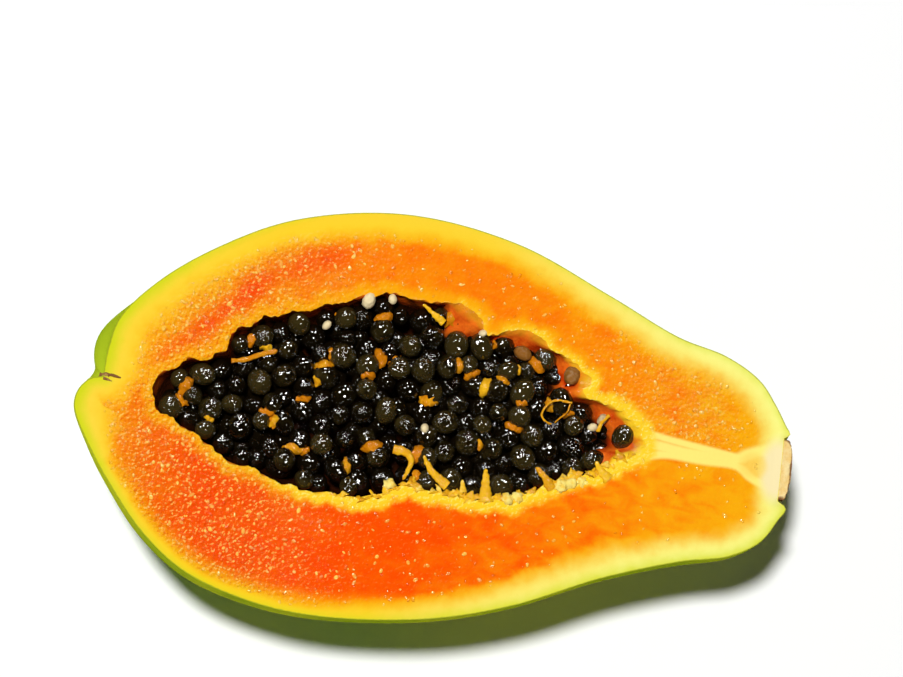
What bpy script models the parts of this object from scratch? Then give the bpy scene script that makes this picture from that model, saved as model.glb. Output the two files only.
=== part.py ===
"""Half of a ripe papaya, cut lengthwise, lying on its round back with the cut face up.

The fruit grew as one piece, so skin and flesh are one solid, hollowed by the seed cavity.
The seeds lie heaped in that cavity and are one solid, and the dried stalk stub is another.
"""

import math
import random

import bmesh
import bpy
import numpy as np
from mathutils import Matrix, Vector

MM = 0.001

# Lines on the fruit, in mm: how far along from the blossom dimple, and how far out from the
# fruit's own axis. All three run from the dimple to the edge of the stalk's seat.
SEAT_AT = 166.6
SEAT_RADIUS = 7.9
UPPER_RIM = [
    (0.0, 0.0), (0.3, 6.7), (2.1, 14.8), (9.9, 24.8), (23.1, 35.3), (41.4, 44.9), (68.0, 50.0),
    (95.8, 46.6), (120.0, 37.0), (137.9, 29.2), (150.5, 26.0), (159.2, 21.2), (163.8, 15.6),
    (166.8, 10.9), (168.0, 9.0), (SEAT_AT, SEAT_RADIUS),
]
LOWER_RIM = [
    (0.0, 0.0), (-2.9, 0.9), (-5.4, 3.9), (-5.9, 8.2), (-1.2, 17.0), (5.4, 26.1), (14.1, 36.0),
    (25.0, 43.9), (40.0, 48.8), (57.0, 50.6), (83.6, 48.0), (104.0, 42.2), (125.6, 32.4),
    (144.5, 25.8), (156.0, 23.0), (163.4, 18.4), (167.0, 12.8), (168.8, 9.4), (SEAT_AT, SEAT_RADIUS),
]
BACK = [
    (0.0, 0.0), (-1.9, 1.6), (-3.2, 6.0), (-1.8, 13.6), (4.4, 23.2), (14.0, 32.0), (28.0, 40.0),
    (49.0, 46.0), (76.0, 48.4), (99.0, 45.2), (119.0, 36.8), (137.0, 29.4), (150.5, 25.6),
    (160.0, 20.4), (165.4, 14.0), (168.0, 9.6), (SEAT_AT, SEAT_RADIUS),
]
STATIONS = 38
STATION_CROWDING = 1.35
ROUND_STEPS = 30

# The five lobes: where one stands round the axis, how much they swell the body and how far
# they reach past the dimple, in mm.
LOBES = 5
LOBE_AT = math.pi
BODY_SWELL = 0.007
BLOSSOM_SWELL = 0.016
BLOSSOM_REACH = 1.9
BLOSSOM_SHARE = 0.2

# The flat spot that the fruit rests on is this far below the cut face, in mm.
REST_DEPTH = 47.5

# The mouth of the seed cavity in the cut face, in mm (along, across), going round once, and
# the cavity's own middle and depth. The yellow tongues between its bays are part of the line.
CAVITY_MOUTH = [
    (133.0, 1.2), (127.6, 8.0), (120.6, 10.6), (115.6, 12.2), (117.2, 15.4), (113.2, 19.2),
    (107.4, 21.6), (102.4, 25.4), (96.4, 24.8), (91.6, 23.4), (88.6, 27.2), (84.0, 29.5),
    (74.0, 29.2), (65.0, 30.1), (54.0, 26.2), (44.0, 22.6), (36.0, 19.8), (29.4, 13.6),
    (21.0, 7.0), (14.4, 3.0), (12.2, -1.6), (15.0, -6.8), (21.0, -9.0), (27.0, -12.8),
    (32.6, -16.2), (39.6, -17.6), (46.0, -20.2), (60.0, -20.7), (68.4, -19.8), (74.4, -16.7),
    (84.0, -17.0), (96.0, -16.7), (103.4, -15.2), (112.0, -10.4), (121.0, -7.0), (127.4, -2.3),
]
CAVITY_MIDDLE = (72.0, 4.0)
CAVITY_DEPTH = 22.0
CAVITY_POWER = 2.4
MOUTH_POINTS = 96
CAVITY_RINGS = 6
CUTTER_RISE = 6.0

# Seeds, in mm. They are dropped one after another and stop where they touch the heap, which
# is filled up to an uneven top that falls off towards the cavity's wall.
SEED_DRAW = 41
SEED_RADIUS = (2.35, 3.05)
SEED_STRETCH = 0.14
SEED_LEAN = 0.6
SEED_OVERLAP = 0.87
HEAP_TOP = -0.1
HEAP_SWELL = 0.9
HEAP_WAVES = (9.0, 7.5, 4.6, 5.2)
HEAP_EDGE_DROP = 1.6
HEAP_EDGE_WIDTH = 4.0
HEAP_FLOOR = -8.2
SEED_SINK = 0.42
CORE_TOP = -5.6
SEED_SHOWS = 0.4
SEED_FACES = (7, 5)
WALL_GAP = 0.4
DROPS_TRIED = 12
MISSES_ALLOWED = 60

# The stalk's dried stub, in mm.
STUB_GAP = 0.3
STUB_RADIUS = 7.5
STUB_THICKNESS = 1.5
STUB_DOME = 1.5
STUB_NOTCHES = ((7, 0.03), (16, 0.022))
STUB_STEPS = 22
STUB_RINGS = 4

SKIN_GREEN = (0.36, 0.52, 0.05, 1.0)
FLESH_ORANGE = (0.95, 0.33, 0.02, 1.0)
SEED_BLACK = (0.03, 0.028, 0.02, 1.0)
STUB_BROWN = (0.42, 0.27, 0.12, 1.0)


def clear_scene():
    for old in list(bpy.data.objects):
        bpy.data.objects.remove(old, do_unlink=True)


def finish(name, colour, roughness):
    """A plain finish: one colour with its roughness."""
    material = bpy.data.materials.new(name)
    material.use_nodes = True
    shader = material.node_tree.nodes["Principled BSDF"]
    shader.inputs["Base Color"].default_value = colour
    shader.inputs["Roughness"].default_value = roughness
    shader.inputs["Metallic"].default_value = 0.0
    material.diffuse_color = colour
    return material


def smooth_line(knots, shares):
    """Points at these shares of the length of a smooth line through the knots."""
    knots = np.array(knots, float)
    chords = np.linalg.norm(np.diff(knots, axis=0), axis=1)
    when = np.concatenate([[0.0], np.cumsum(np.sqrt(chords))])
    slope = np.gradient(knots, when, axis=0)
    fine = np.linspace(0.0, when[-1], 24 * len(knots))
    at = np.clip(np.searchsorted(when, fine, side="right") - 1, 0, len(knots) - 2)
    step = (when[at + 1] - when[at])[:, None]
    u = (fine - when[at])[:, None] / step
    line = (
        (2 * u**3 - 3 * u**2 + 1) * knots[at]
        + (u**3 - 2 * u**2 + u) * step * slope[at]
        + (3 * u**2 - 2 * u**3) * knots[at + 1]
        + (u**3 - u**2) * step * slope[at + 1]
    )
    run = np.concatenate([[0.0], np.cumsum(np.linalg.norm(np.diff(line, axis=0), axis=1))])
    wanted = np.asarray(shares) * run[-1]
    return np.stack([np.interp(wanted, run, line[:, k]) for k in range(2)], axis=1)


def closed_line(knots, count):
    """Count points, evenly spaced, on a smooth closed line through the knots."""
    lapped = knots[-3:] + knots + knots[:3]
    line = smooth_line(lapped, np.linspace(0.0, 1.0, 40 * len(knots)))
    first = np.argmin(np.linalg.norm(line - np.array(knots[0]), axis=1))
    rest = len(line) // 2 + np.argmin(
        np.linalg.norm(line[len(line) // 2:] - np.array(knots[0]), axis=1)
    )
    loop = line[first:rest + 1]
    run = np.concatenate([[0.0], np.cumsum(np.linalg.norm(np.diff(loop, axis=0), axis=1))])
    wanted = np.linspace(0.0, run[-1], count, endpoint=False)
    return np.stack([np.interp(wanted, run, loop[:, k]) for k in range(2)], axis=1)


def lobe_share(angle):
    """How far a lobe stands out at this angle, made nothing at both rims and along the back."""
    return math.cos(LOBES * (angle - LOBE_AT)) - math.cos(angle - LOBE_AT)


def skin_point(upper, lower, back, share, angle):
    """A point of the skin, in mm. The angle is 0 at the upper rim and pi at the lower one."""
    rim = upper if angle <= math.pi / 2 else lower
    side, under = math.cos(angle), math.sin(angle)
    lobe = lobe_share(angle)
    blossom = math.exp(-((share / BLOSSOM_SHARE) ** 2))
    swell = 1 + (BODY_SWELL + BLOSSOM_SWELL * blossom) * lobe * math.sin(math.pi * share)
    reach = BLOSSOM_REACH * blossom * math.sin(math.pi * min(share / BLOSSOM_SHARE, 1.0))
    along = rim[0] * side**2 + back[0] * under**2 - reach * lobe
    return Vector((along, rim[1] * side * swell, -back[1] * under * swell))


def mesh_object(name, bm, material=None):
    """Turns the bmesh, whose sizes are in mm, into an object with its faces pointing out."""
    bmesh.ops.recalc_face_normals(bm, faces=bm.faces)
    bmesh.ops.scale(bm, vec=Vector((MM, MM, MM)), verts=bm.verts)
    mesh = bpy.data.meshes.new(name)
    bm.to_mesh(mesh)
    bm.free()
    if material:
        mesh.materials.append(material)
    obj = bpy.data.objects.new(name, mesh)
    bpy.context.scene.collection.objects.link(obj)
    return obj


def bridge(bm, first, second, closed):
    """Faces between two rows of vertices of the same length."""
    pairs = len(first) if closed else len(first) - 1
    for i in range(pairs):
        j = (i + 1) % len(first)
        bm.faces.new((first[i], first[j], second[j], second[i]))


def whole_half(flesh):
    """The half fruit before it is hollowed: skin from rim to rim, the cut face and the seat."""
    shares = np.linspace(0.0, 1.0, STATIONS) ** STATION_CROWDING
    upper, lower, back = (smooth_line(line, shares) for line in (UPPER_RIM, LOWER_RIM, BACK))
    angles = np.linspace(0.0, math.pi, ROUND_STEPS + 1)
    bm = bmesh.new()
    tip = bm.verts.new((0.0, 0.0, 0.0))
    rows = []
    for station in range(1, STATIONS):
        row = [
            skin_point(upper[station], lower[station], back[station], shares[station], angle)
            for angle in angles
        ]
        rows.append([bm.verts.new(point) for point in row])
    for one, other in zip(rows[0], rows[0][1:]):
        bm.faces.new((tip, one, other))
    for first, second in zip(rows, rows[1:]):
        bridge(bm, first, second, closed=False)
    bm.faces.new(rows[-1])
    bm.faces.new([tip] + [row[0] for row in rows] + [row[-1] for row in reversed(rows)])
    rest_level = Vector((0.0, 0.0, -REST_DEPTH))
    cut = bmesh.ops.bisect_plane(
        bm, geom=bm.verts[:] + bm.edges[:] + bm.faces[:], plane_co=rest_level,
        plane_no=(0.0, 0.0, -1.0), clear_outer=True,
    )
    spot = [edge for edge in cut["geom_cut"] if isinstance(edge, bmesh.types.BMEdge)]
    bmesh.ops.contextual_create(bm, geom=spot)
    return mesh_object("fruit_half", bm, flesh)


def basin_scale(depth, full_depth):
    """How wide the cavity still is at this depth, as a share of its mouth."""
    return (1.0 - min(depth / full_depth, 1.0) ** CAVITY_POWER) ** (1.0 / CAVITY_POWER)


def basin(name, mouth, full_depth, top, rise):
    """A closed solid with the cavity's shape, from this level down, and a straight rise above."""
    middle = np.array(CAVITY_MIDDLE)
    lowest = math.acos((-top / full_depth) ** (CAVITY_POWER / 2))
    levels = [
        full_depth * math.cos(lowest * (1.0 - ring / CAVITY_RINGS)) ** (2 / CAVITY_POWER)
        for ring in range(CAVITY_RINGS)
    ]
    bm = bmesh.new()
    loops = []
    if rise:
        loops.append([bm.verts.new((x, y, rise)) for x, y in mouth])
    for depth in levels:
        spread = middle + (mouth - middle) * basin_scale(depth, full_depth)
        loops.append([bm.verts.new((x, y, -depth)) for x, y in spread])
    for first, second in zip(loops, loops[1:]):
        bridge(bm, first, second, closed=True)
    bottom = bm.verts.new((middle[0], middle[1], -full_depth))
    for i, vert in enumerate(loops[-1]):
        bm.faces.new((vert, loops[-1][(i + 1) % len(loops[-1])], bottom))
    bm.faces.new(loops[0])
    return mesh_object(name, bm)


def drawn_in(mouth, gap):
    """The mouth's line moved inwards by a gap."""
    ahead, behind = np.roll(mouth, -1, axis=0), np.roll(mouth, 1, axis=0)
    tangent = ahead - behind
    tangent /= np.linalg.norm(tangent, axis=1)[:, None]
    return mouth + gap * np.stack([-tangent[:, 1], tangent[:, 0]], axis=1)


def room_at(x, y, depth, mouth):
    """How far the cavity's wall is from this place, in mm, or a negative number outside it."""
    scale = basin_scale(depth, CAVITY_DEPTH)
    middle = np.array(CAVITY_MIDDLE)
    point = middle + (np.array([x, y]) - middle) / max(scale, 0.05)
    start, end = mouth, np.roll(mouth, -1, axis=0)
    side = end - start
    share = np.clip(((point - start) * side).sum(1) / (side * side).sum(1), 0.0, 1.0)
    distance = np.linalg.norm(start + side * share[:, None] - point, axis=1).min()
    rising = (start[:, 1] > point[1]) != (end[:, 1] > point[1])
    with np.errstate(divide="ignore", invalid="ignore"):
        crossing = start[:, 0] + side[:, 0] * (point[1] - start[:, 1]) / side[:, 1]
    inside = np.count_nonzero(rising & (crossing > point[0])) % 2 == 1
    return distance * scale if inside else -distance * scale


def heap_top(x, y, room):
    """The level that the seeds reach: a low uneven swell that drops towards the wall."""
    long_x, long_y, short_x, short_y = HEAP_WAVES
    swell = math.sin(x / long_x + 0.8) * math.cos(y / long_y)
    swell += 0.6 * math.sin(x / short_x - y / short_y)
    return HEAP_TOP + HEAP_SWELL * swell - HEAP_EDGE_DROP * math.exp(-room / HEAP_EDGE_WIDTH)


def lay_seeds(mouth):
    """(x, y, z, radius) of every seed, in mm, lowest first."""
    draw = random.Random(SEED_DRAW)
    low, high = mouth.min(axis=0), mouth.max(axis=0)
    seeds = np.zeros((0, 4))
    misses = 0
    while misses < MISSES_ALLOWED:
        radius = draw.uniform(*SEED_RADIUS)
        best = None
        for _ in range(DROPS_TRIED):
            x, y = draw.uniform(low[0], high[0]), draw.uniform(low[1], high[1])
            z = HEAP_FLOOR + SEED_SINK * radius
            if len(seeds):
                reach = SEED_OVERLAP * (seeds[:, 3] + radius)
                apart = np.hypot(seeds[:, 0] - x, seeds[:, 1] - y)
                near = apart < reach
                if near.any():
                    z = max(z, (seeds[near, 2] + np.sqrt(reach[near] ** 2 - apart[near] ** 2)).max())
            room = room_at(x, y, max(-z + 0.5 * radius, 0.0), mouth)
            if room < radius * (1 + 0.5 * SEED_STRETCH) + WALL_GAP:
                continue
            if z + radius > heap_top(x, y, room):
                continue
            if best is None or z < best[2]:
                best = (x, y, z, radius)
        if best is None:
            misses += 1
            continue
        misses = 0
        seeds = np.vstack([seeds, best])
    return seeds


def seed_cluster(mouth, black):
    """The heap of seeds: each an egg shape standing out of the core that fills the cavity."""
    inner = drawn_in(mouth, WALL_GAP)
    core = basin("seed_cluster", inner, CAVITY_DEPTH - WALL_GAP, CORE_TOP, 0.0)
    core.data.materials.append(black)
    heap = bpy.data.collections.new("seeds")
    turn = random.Random(SEED_DRAW + 1)
    for number, (x, y, z, radius) in enumerate(lay_seeds(mouth)):
        if z + radius < CORE_TOP + SEED_SHOWS:
            continue
        bm = bmesh.new()
        around, along = SEED_FACES
        bmesh.ops.create_uvsphere(bm, u_segments=around, v_segments=along, radius=radius)
        stretch = turn.uniform(0.0, SEED_STRETCH)
        egg = Matrix.Diagonal((1 + stretch, 1 - stretch / 2, 1 - stretch / 2, 1.0))
        lean = Matrix.Rotation(turn.uniform(0, math.pi), 4, "Z") @ Matrix.Rotation(
            turn.uniform(-SEED_LEAN, SEED_LEAN), 4, "Y"
        )
        bmesh.ops.transform(bm, matrix=Matrix.Translation((x, y, z)) @ lean @ egg, verts=bm.verts)
        seed = mesh_object(f"seed_{number}", bm)
        bpy.context.scene.collection.objects.unlink(seed)
        heap.objects.link(seed)
    join = core.modifiers.new("seeds", "BOOLEAN")
    join.operation = "UNION"
    join.operand_type = "COLLECTION"
    join.collection = heap
    join.solver = "EXACT"
    apply_modifiers(core)
    for seed in list(heap.objects):
        bpy.data.objects.remove(seed, do_unlink=True)
    bpy.data.collections.remove(heap)
    return core


def apply_modifiers(obj):
    """Replaces the object's mesh by what its modifiers make of it."""
    bpy.context.view_layer.update()
    graph = bpy.context.evaluated_depsgraph_get()
    made = bpy.data.meshes.new_from_object(obj.evaluated_get(graph), depsgraph=graph)
    obj.modifiers.clear()
    obj.data = made


def stalk_stub(brown):
    """Half of the corky disc where the stalk broke off: a low dome with a notched edge."""
    bm = bmesh.new()
    angles = np.linspace(0.0, math.pi, STUB_STEPS + 1)
    notch = [1 + sum(deep * math.sin(many * a) for many, deep in STUB_NOTCHES) for a in angles]
    start = SEAT_AT + STUB_GAP
    rows = []
    for ring in range(STUB_RINGS):
        lean = 0.5 * math.pi * ring / STUB_RINGS
        radius = STUB_RADIUS * math.cos(lean)
        along = start + STUB_THICKNESS + STUB_DOME * math.sin(lean)
        rows.append([
            bm.verts.new((along, radius * n * math.cos(a), -radius * n * math.sin(a)))
            for a, n in zip(angles, notch)
        ])
    foot = [
        bm.verts.new((start, STUB_RADIUS * n * math.cos(a), -STUB_RADIUS * n * math.sin(a)))
        for a, n in zip(angles, notch)
    ]
    rows.insert(0, foot)
    for first, second in zip(rows, rows[1:]):
        bridge(bm, first, second, closed=False)
    top = bm.verts.new((start + STUB_THICKNESS + STUB_DOME, 0.0, 0.0))
    for one, other in zip(rows[-1], rows[-1][1:]):
        bm.faces.new((top, one, other))
    bm.faces.new(foot)
    bm.faces.new([row[0] for row in rows] + [top] + [row[-1] for row in reversed(rows)])
    return mesh_object("stalk_stub", bm, brown)


def shade(obj, angle):
    obj.data.shade_smooth()
    obj.data.set_sharp_from_angle(angle=math.radians(angle))


def stand(parts):
    """Moves all parts so that the origin is under the middle of the fruit, at the flat spot."""
    bpy.context.view_layer.update()
    corners = np.array([part.matrix_world @ vert.co for part in parts for vert in part.data.vertices])
    low, high = corners.min(axis=0), corners.max(axis=0)
    for part in parts:
        part.location = (-(low[0] + high[0]) / 2, -(low[1] + high[1]) / 2, -low[2])


def main():
    clear_scene()
    skin = finish("skin", SKIN_GREEN, 0.35)
    flesh = finish("flesh", FLESH_ORANGE, 0.3)
    black = finish("seeds", SEED_BLACK, 0.15)
    brown = finish("stub", STUB_BROWN, 0.8)
    mouth = closed_line(CAVITY_MOUTH, MOUTH_POINTS)
    fruit = whole_half(skin)
    fruit.data.materials.append(flesh)
    for face in fruit.data.polygons:
        if face.normal.z > 0.99:
            face.material_index = 1
    cutter = basin("cavity_cutter", mouth, CAVITY_DEPTH, 0.0, CUTTER_RISE)
    cutter.data.materials.append(skin)
    cutter.data.materials.append(flesh)
    for face in cutter.data.polygons:
        face.material_index = 1
    hollow = fruit.modifiers.new("cavity", "BOOLEAN")
    hollow.operation = "DIFFERENCE"
    hollow.object = cutter
    hollow.solver = "EXACT"
    apply_modifiers(fruit)
    bpy.data.objects.remove(cutter, do_unlink=True)
    seeds = seed_cluster(mouth, black)
    stub = stalk_stub(brown)
    shade(fruit, 40)
    shade(seeds, 60)
    shade(stub, 30)
    stand([fruit, seeds, stub])


main()
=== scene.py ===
"""Half of a ripe papaya: its skin and wet cut face, the heaped seeds, the yellow tissue that
held them, juice beads and the corky stub of the stalk. Laid out as an add-on, run as a script."""

import math
import random

import bmesh
import bpy
import numpy as np
from bpy.props import FloatProperty, FloatVectorProperty, PointerProperty
from mathutils import Matrix, Vector, noise


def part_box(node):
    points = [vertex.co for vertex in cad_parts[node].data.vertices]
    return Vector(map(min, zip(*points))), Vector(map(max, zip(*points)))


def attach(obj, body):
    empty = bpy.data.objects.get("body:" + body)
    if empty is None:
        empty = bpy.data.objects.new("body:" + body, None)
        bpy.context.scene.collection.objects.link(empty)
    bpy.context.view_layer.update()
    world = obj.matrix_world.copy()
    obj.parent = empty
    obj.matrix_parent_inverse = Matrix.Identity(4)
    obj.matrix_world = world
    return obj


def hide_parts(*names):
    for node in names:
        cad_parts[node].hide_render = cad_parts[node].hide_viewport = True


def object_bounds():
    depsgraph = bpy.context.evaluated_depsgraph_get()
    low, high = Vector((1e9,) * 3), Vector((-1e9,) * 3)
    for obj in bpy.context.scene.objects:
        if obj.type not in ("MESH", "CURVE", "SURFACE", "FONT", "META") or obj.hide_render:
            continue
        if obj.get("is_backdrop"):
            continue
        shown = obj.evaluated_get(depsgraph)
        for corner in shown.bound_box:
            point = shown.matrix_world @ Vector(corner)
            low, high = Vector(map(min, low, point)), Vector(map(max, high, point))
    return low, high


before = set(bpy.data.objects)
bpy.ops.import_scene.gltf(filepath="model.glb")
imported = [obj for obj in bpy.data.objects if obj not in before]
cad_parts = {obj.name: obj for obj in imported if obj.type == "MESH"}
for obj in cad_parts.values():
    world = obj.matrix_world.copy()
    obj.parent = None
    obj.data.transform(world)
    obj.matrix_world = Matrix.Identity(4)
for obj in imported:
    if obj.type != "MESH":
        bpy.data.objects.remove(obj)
CAD_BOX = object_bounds()

bl_info = {
    "name": "Papaya half",
    "version": (1, 0, 0),
    "blender": (4, 5, 0),
    "location": "3D View > Sidebar > Papaya",
    "description": "Builds half of a ripe papaya with its seeds, and the stage that it lies on",
    "category": "Add Mesh",
}

MM = 0.001
BODY = "root"

# Lines on the fruit, in mm: how far along from the blossom dimple, and how far out from the
# fruit's own axis. All three run from the dimple to the edge of the stalk's seat.
SEAT_AT = 166.6
SEAT_RADIUS = 7.9
UPPER_RIM = [
    (0.0, 0.0), (0.3, 6.7), (2.1, 14.8), (9.9, 24.8), (23.1, 35.3), (41.4, 44.9), (68.0, 50.0),
    (95.8, 46.6), (120.0, 37.0), (137.9, 29.2), (150.5, 26.0), (159.2, 21.2), (163.8, 15.6),
    (166.8, 10.9), (168.0, 9.0), (SEAT_AT, SEAT_RADIUS),
]
LOWER_RIM = [
    (0.0, 0.0), (-2.9, 0.9), (-5.4, 3.9), (-5.9, 8.2), (-1.2, 17.0), (5.4, 26.1), (14.1, 36.0),
    (25.0, 43.9), (40.0, 48.8), (57.0, 50.6), (83.6, 48.0), (104.0, 42.2), (125.6, 32.4),
    (144.5, 25.8), (156.0, 23.0), (163.4, 18.4), (167.0, 12.8), (168.8, 9.4), (SEAT_AT, SEAT_RADIUS),
]
BACK = [
    (0.0, 0.0), (-1.9, 1.6), (-3.2, 6.0), (-1.8, 13.6), (4.4, 23.2), (14.0, 32.0), (28.0, 40.0),
    (49.0, 46.0), (76.0, 48.4), (99.0, 45.2), (119.0, 36.8), (137.0, 29.4), (150.5, 25.6),
    (160.0, 20.4), (165.4, 14.0), (168.0, 9.6), (SEAT_AT, SEAT_RADIUS),
]
# Rows of skin points along the fruit, closer near the dimple, and points round half of it.
# Then how far the skin stays within these lines, in mm, how deep its dents are, and how far
# below the cut it is flat where it rests.
STATIONS = 301
STATION_CROWDING = 1.35
ROUND_STEPS = 60
SKIN_INSET = 0.06
SKIN_DENTS = 0.35
SKIN_DENT_SIZE = 17.0
REST_DEPTH = 47.5
# How far the skin swells out past the lower edge of the cut: (share of the rim's length, mm),
# and how far round, in radians, it swells most.
CHEEK = [
    (0.0, 0.0), (0.06, 0.4), (0.12, 1.1), (0.3, 1.3), (0.45, 0.9), (0.7, 0.8), (0.85, 1.0),
    (0.97, 0.0),
]
CHEEK_AT = 0.3

# The five lobes: where one stands round the axis, how much they swell the body and how far
# they reach past the dimple, in mm.
LOBES = 5
LOBE_AT = math.pi
BODY_SWELL = 0.007
BLOSSOM_SWELL = 0.016
BLOSSOM_REACH = 1.9
BLOSSOM_SHARE = 0.2

# The mouth of the seed cavity in the cut face, in mm (along, across), going round once, and
# the cavity's own middle and depth.
CAVITY_MOUTH = [
    (133.0, 1.2), (127.6, 8.0), (120.6, 10.6), (115.6, 12.2), (117.2, 15.4), (113.2, 19.2),
    (107.4, 21.6), (102.4, 25.4), (96.4, 24.8), (91.6, 23.4), (88.6, 27.2), (84.0, 29.5),
    (74.0, 29.2), (65.0, 30.1), (58.5, 27.6), (53.6, 25.6), (50.2, 24.8), (47.6, 23.0),
    (43.2, 22.4), (40.6, 20.9), (36.4, 20.3), (34.4, 17.8), (31.0, 16.3), (29.3, 13.6),
    (28.6, 10.4), (25.4, 9.2), (23.4, 7.5), (19.8, 7.2), (17.0, 4.7), (13.6, 2.4), (12.2, -1.6),
    (13.2, -5.2), (16.2, -7.6), (21.0, -9.4), (27.0, -12.8), (32.6, -16.2), (39.6, -17.6),
    (46.0, -20.2), (60.0, -20.7), (68.4, -19.8), (74.4, -16.7), (84.0, -17.0), (96.0, -16.7),
    (103.4, -15.2), (112.0, -10.4), (121.0, -7.0), (127.4, -2.3),
]
MOUTH_LEFT = (12.2, -1.6)
MOUTH_RIGHT = (133.0, 1.2)
CAVITY_MIDDLE = (72.0, 4.0)
CAVITY_DEPTH = 22.0
CAVITY_POWER = 2.4
# Rings of points between rim and mouth, and the depths of those down the wall.
FACE_RINGS = 62
WALL_DEPTHS = [0.2, 0.55, 1.1, 1.8, 2.7, 3.8, 5.2, 7.0, 9.4, 12.5, 16.0, 19.0, 21.2]

# Sizes of the mouth's small bays and tufts, in mm, how far down the wall they reach, and how
# much of each half of the mouth faces the stalk's seat.
MOUTH_BAY = 3.2
MOUTH_TUFT = 1.1
RAGGED_DEPTH = 0.8
MOUTH_TIP = 0.012

# Where the cavity's wall slopes gently and stays bare: along, across, reach in mm. Then by
# how much a mm down, and how far down.
BARE_BAYS = [(129.0, 3.0, 8.0), (116.0, 16.0, 5.0), (100.5, 24.0, 4.5), (86.5, 28.5, 4.0)]
BAY_SLOPE = 1.5
BAY_DEPTH = 5.0

# How the cut face and the fringe change along the fruit, above its axis and below it:
# (mm along, value).
ALONG = {
    "rind": (
        [(0, 7.5), (12, 7.0), (30, 5.2), (66, 5.4), (95, 4.8), (120, 5.2), (145, 6.2),
         (168, 5.6)],
        [(-6, 9.0), (-4, 7.5), (2, 2.8), (25, 2.3), (55, 2.4), (90, 4.2), (120, 5.8), (168, 5.4)],
    ),
    "red": (
        [(8, 0.1), (20, 0.35), (45, 0.52), (66, 0.58), (95, 0.52), (120, 0.42), (140, 0.36),
         (158, 0.0)],
        [(0, 0.3), (12, 0.7), (30, 0.96), (62, 0.95), (85, 0.86), (105, 0.68), (120, 0.56),
         (138, 0.3), (155, 0.1)],
    ),
    "pale": (
        [(-2, 0.15), (40, 0.05), (90, 0.1), (115, 0.5), (145, 1.0)],
        [(-4, 0.2), (8, 0.1), (30, 0.0), (70, 0.05), (100, 0.6), (145, 1.0)],
    ),
    "grain": (
        [(0, 0.3), (15, 0.9), (42, 0.8), (56, 0.35), (75, 0.12), (110, 0.12), (132, 0.4),
         (148, 0.5), (158, 0.2)],
        [(0, 0.5), (10, 1.0), (40, 0.95), (55, 0.4), (70, 0.13), (120, 0.03)],
    ),
    "lime": (
        [(-2, 1.1), (12, 1.0), (30, 0.6), (60, 0.25), (90, 0.4), (130, 0.6), (160, 0.6)],
        [(-6, 1.2), (2, 0.85), (15, 0.6), (30, 0.55), (60, 0.6), (100, 0.8), (165, 0.8)],
    ),
    "lining": (
        [(20, 0.0), (56, 0.05), (72, 0.15), (86, 0.35), (100, 0.38), (116, 0.6), (128, 0.95)],
        [(14, 0.0), (22, 0.2), (42, 0.3), (50, 0.75), (60, 0.95), (128, 1.0)],
    ),
    "fringe": (
        [(60, 0.0), (160, 0.0)],
        [(56, 0.0), (62, 0.25), (70, 0.8), (122, 1.0), (131, 0.3)],
    ),
}

# Which way the grains' painted light and shade come from: mm of shift between two samples of one
# pattern.
PAINTED_GRAIN_LIGHT_FROM = (0.22, -0.26, 0.0)

# Redder streaks in the flesh, in mm: points, half width and how much redder.
RED_STREAKS = [
    ([(12.4, 5.3), (20.0, 13.0), (27.7, 20.8), (33.5, 26.0)], 2.6, 0.45),
    ([(32.0, 26.9), (43.8, 33.4), (54.0, 37.0)], 2.6, 0.3),
]

# Cords of pale fibre that run from the cavity to the stalk, in mm: points and half width.
FIBRES = [
    ([(131.0, 2.0), (137.2, 1.6), (142.3, 1.0), (150.5, 1.1), (155.4, 1.0), (158.0, 2.6),
      (163.0, 4.4)], 1.15),
    ([(133.0, 4.4), (140.0, 3.4), (150.2, 2.2), (155.4, 1.6)], 0.7),
    ([(125.0, -4.8), (131.0, -2.0), (137.0, -0.2), (147.0, -0.4), (156.0, -0.6),
      (159.0, -2.8), (163.5, -4.6)], 0.85),
]
# Pale ovals at their end: middle and half widths.
PITH = (159.6, 0.1, 3.3, 3.0)
SEAT_PALE = (165.6, -0.4, 3.6, 6.8)

# Relief of the cut face and the wall, in mm: how deep, and how large its forms are.
FACE_DIP, FACE_DIP_SIZE = 0.22, 11.0
GRAIN_DIP, GRAIN_DIP_SIZE = 0.14, 1.5
LIP_DROP, LIP_WIDTH = 0.25, 0.5
WALL_LUMPS, WALL_LUMP_SIZE = 0.5, 3.0

# Seeds, in mm. They lie close together up to an uneven top that falls off towards the
# cavity's wall. Hollows in it: along, across, reach, depth.
SEED_DRAW = 41
SEED_COUNT = 238
SEED_ROUNDS = 220
SEED_RADIUS = (2.35, 3.3)
SEED_STRETCH = 0.24
SEED_OVERLAP = 1.0
SEED_HELD_DOWN = 3.8
HEAP_FLOOR = -10.5
HEAP_TOP = 0.1
HEAP_LIMIT = 0.6
HEAP_SWELL = 0.8
HEAP_WAVES = (9.0, 7.5, 4.6, 5.2)
HEAP_EDGE_DROP = 0.2
HEAP_EDGE_WIDTH = 4.0
HEAP_HOLLOWS = [
    (38.0, 20.0, 5.0, 1.0), (117.0, 16.0, 3.5, 5.0), (130.0, 3.0, 8.0, 12.0), (101.0, 24.0, 2.5, 3.0),
    (86.5, 28.0, 3.0, 2.0),
]
LONE_SEED = (127.4, 3.2, -3.2, 3.0)
# How far seeds that overlap are pushed apart each round, how far all rise, and their gap to
# the wall.
SEED_PUSH = 0.3
SEED_RISE = 0.02
WALL_GAP = 0.2
# How deep a seed lies before it counts as buried, and over how many mm it comes to be: the deeper,
# the more painted shade darkens it.
BURIED_SHADE_FROM = 3.6
BURIED_SHADE_WITHIN = 2.6

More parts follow.
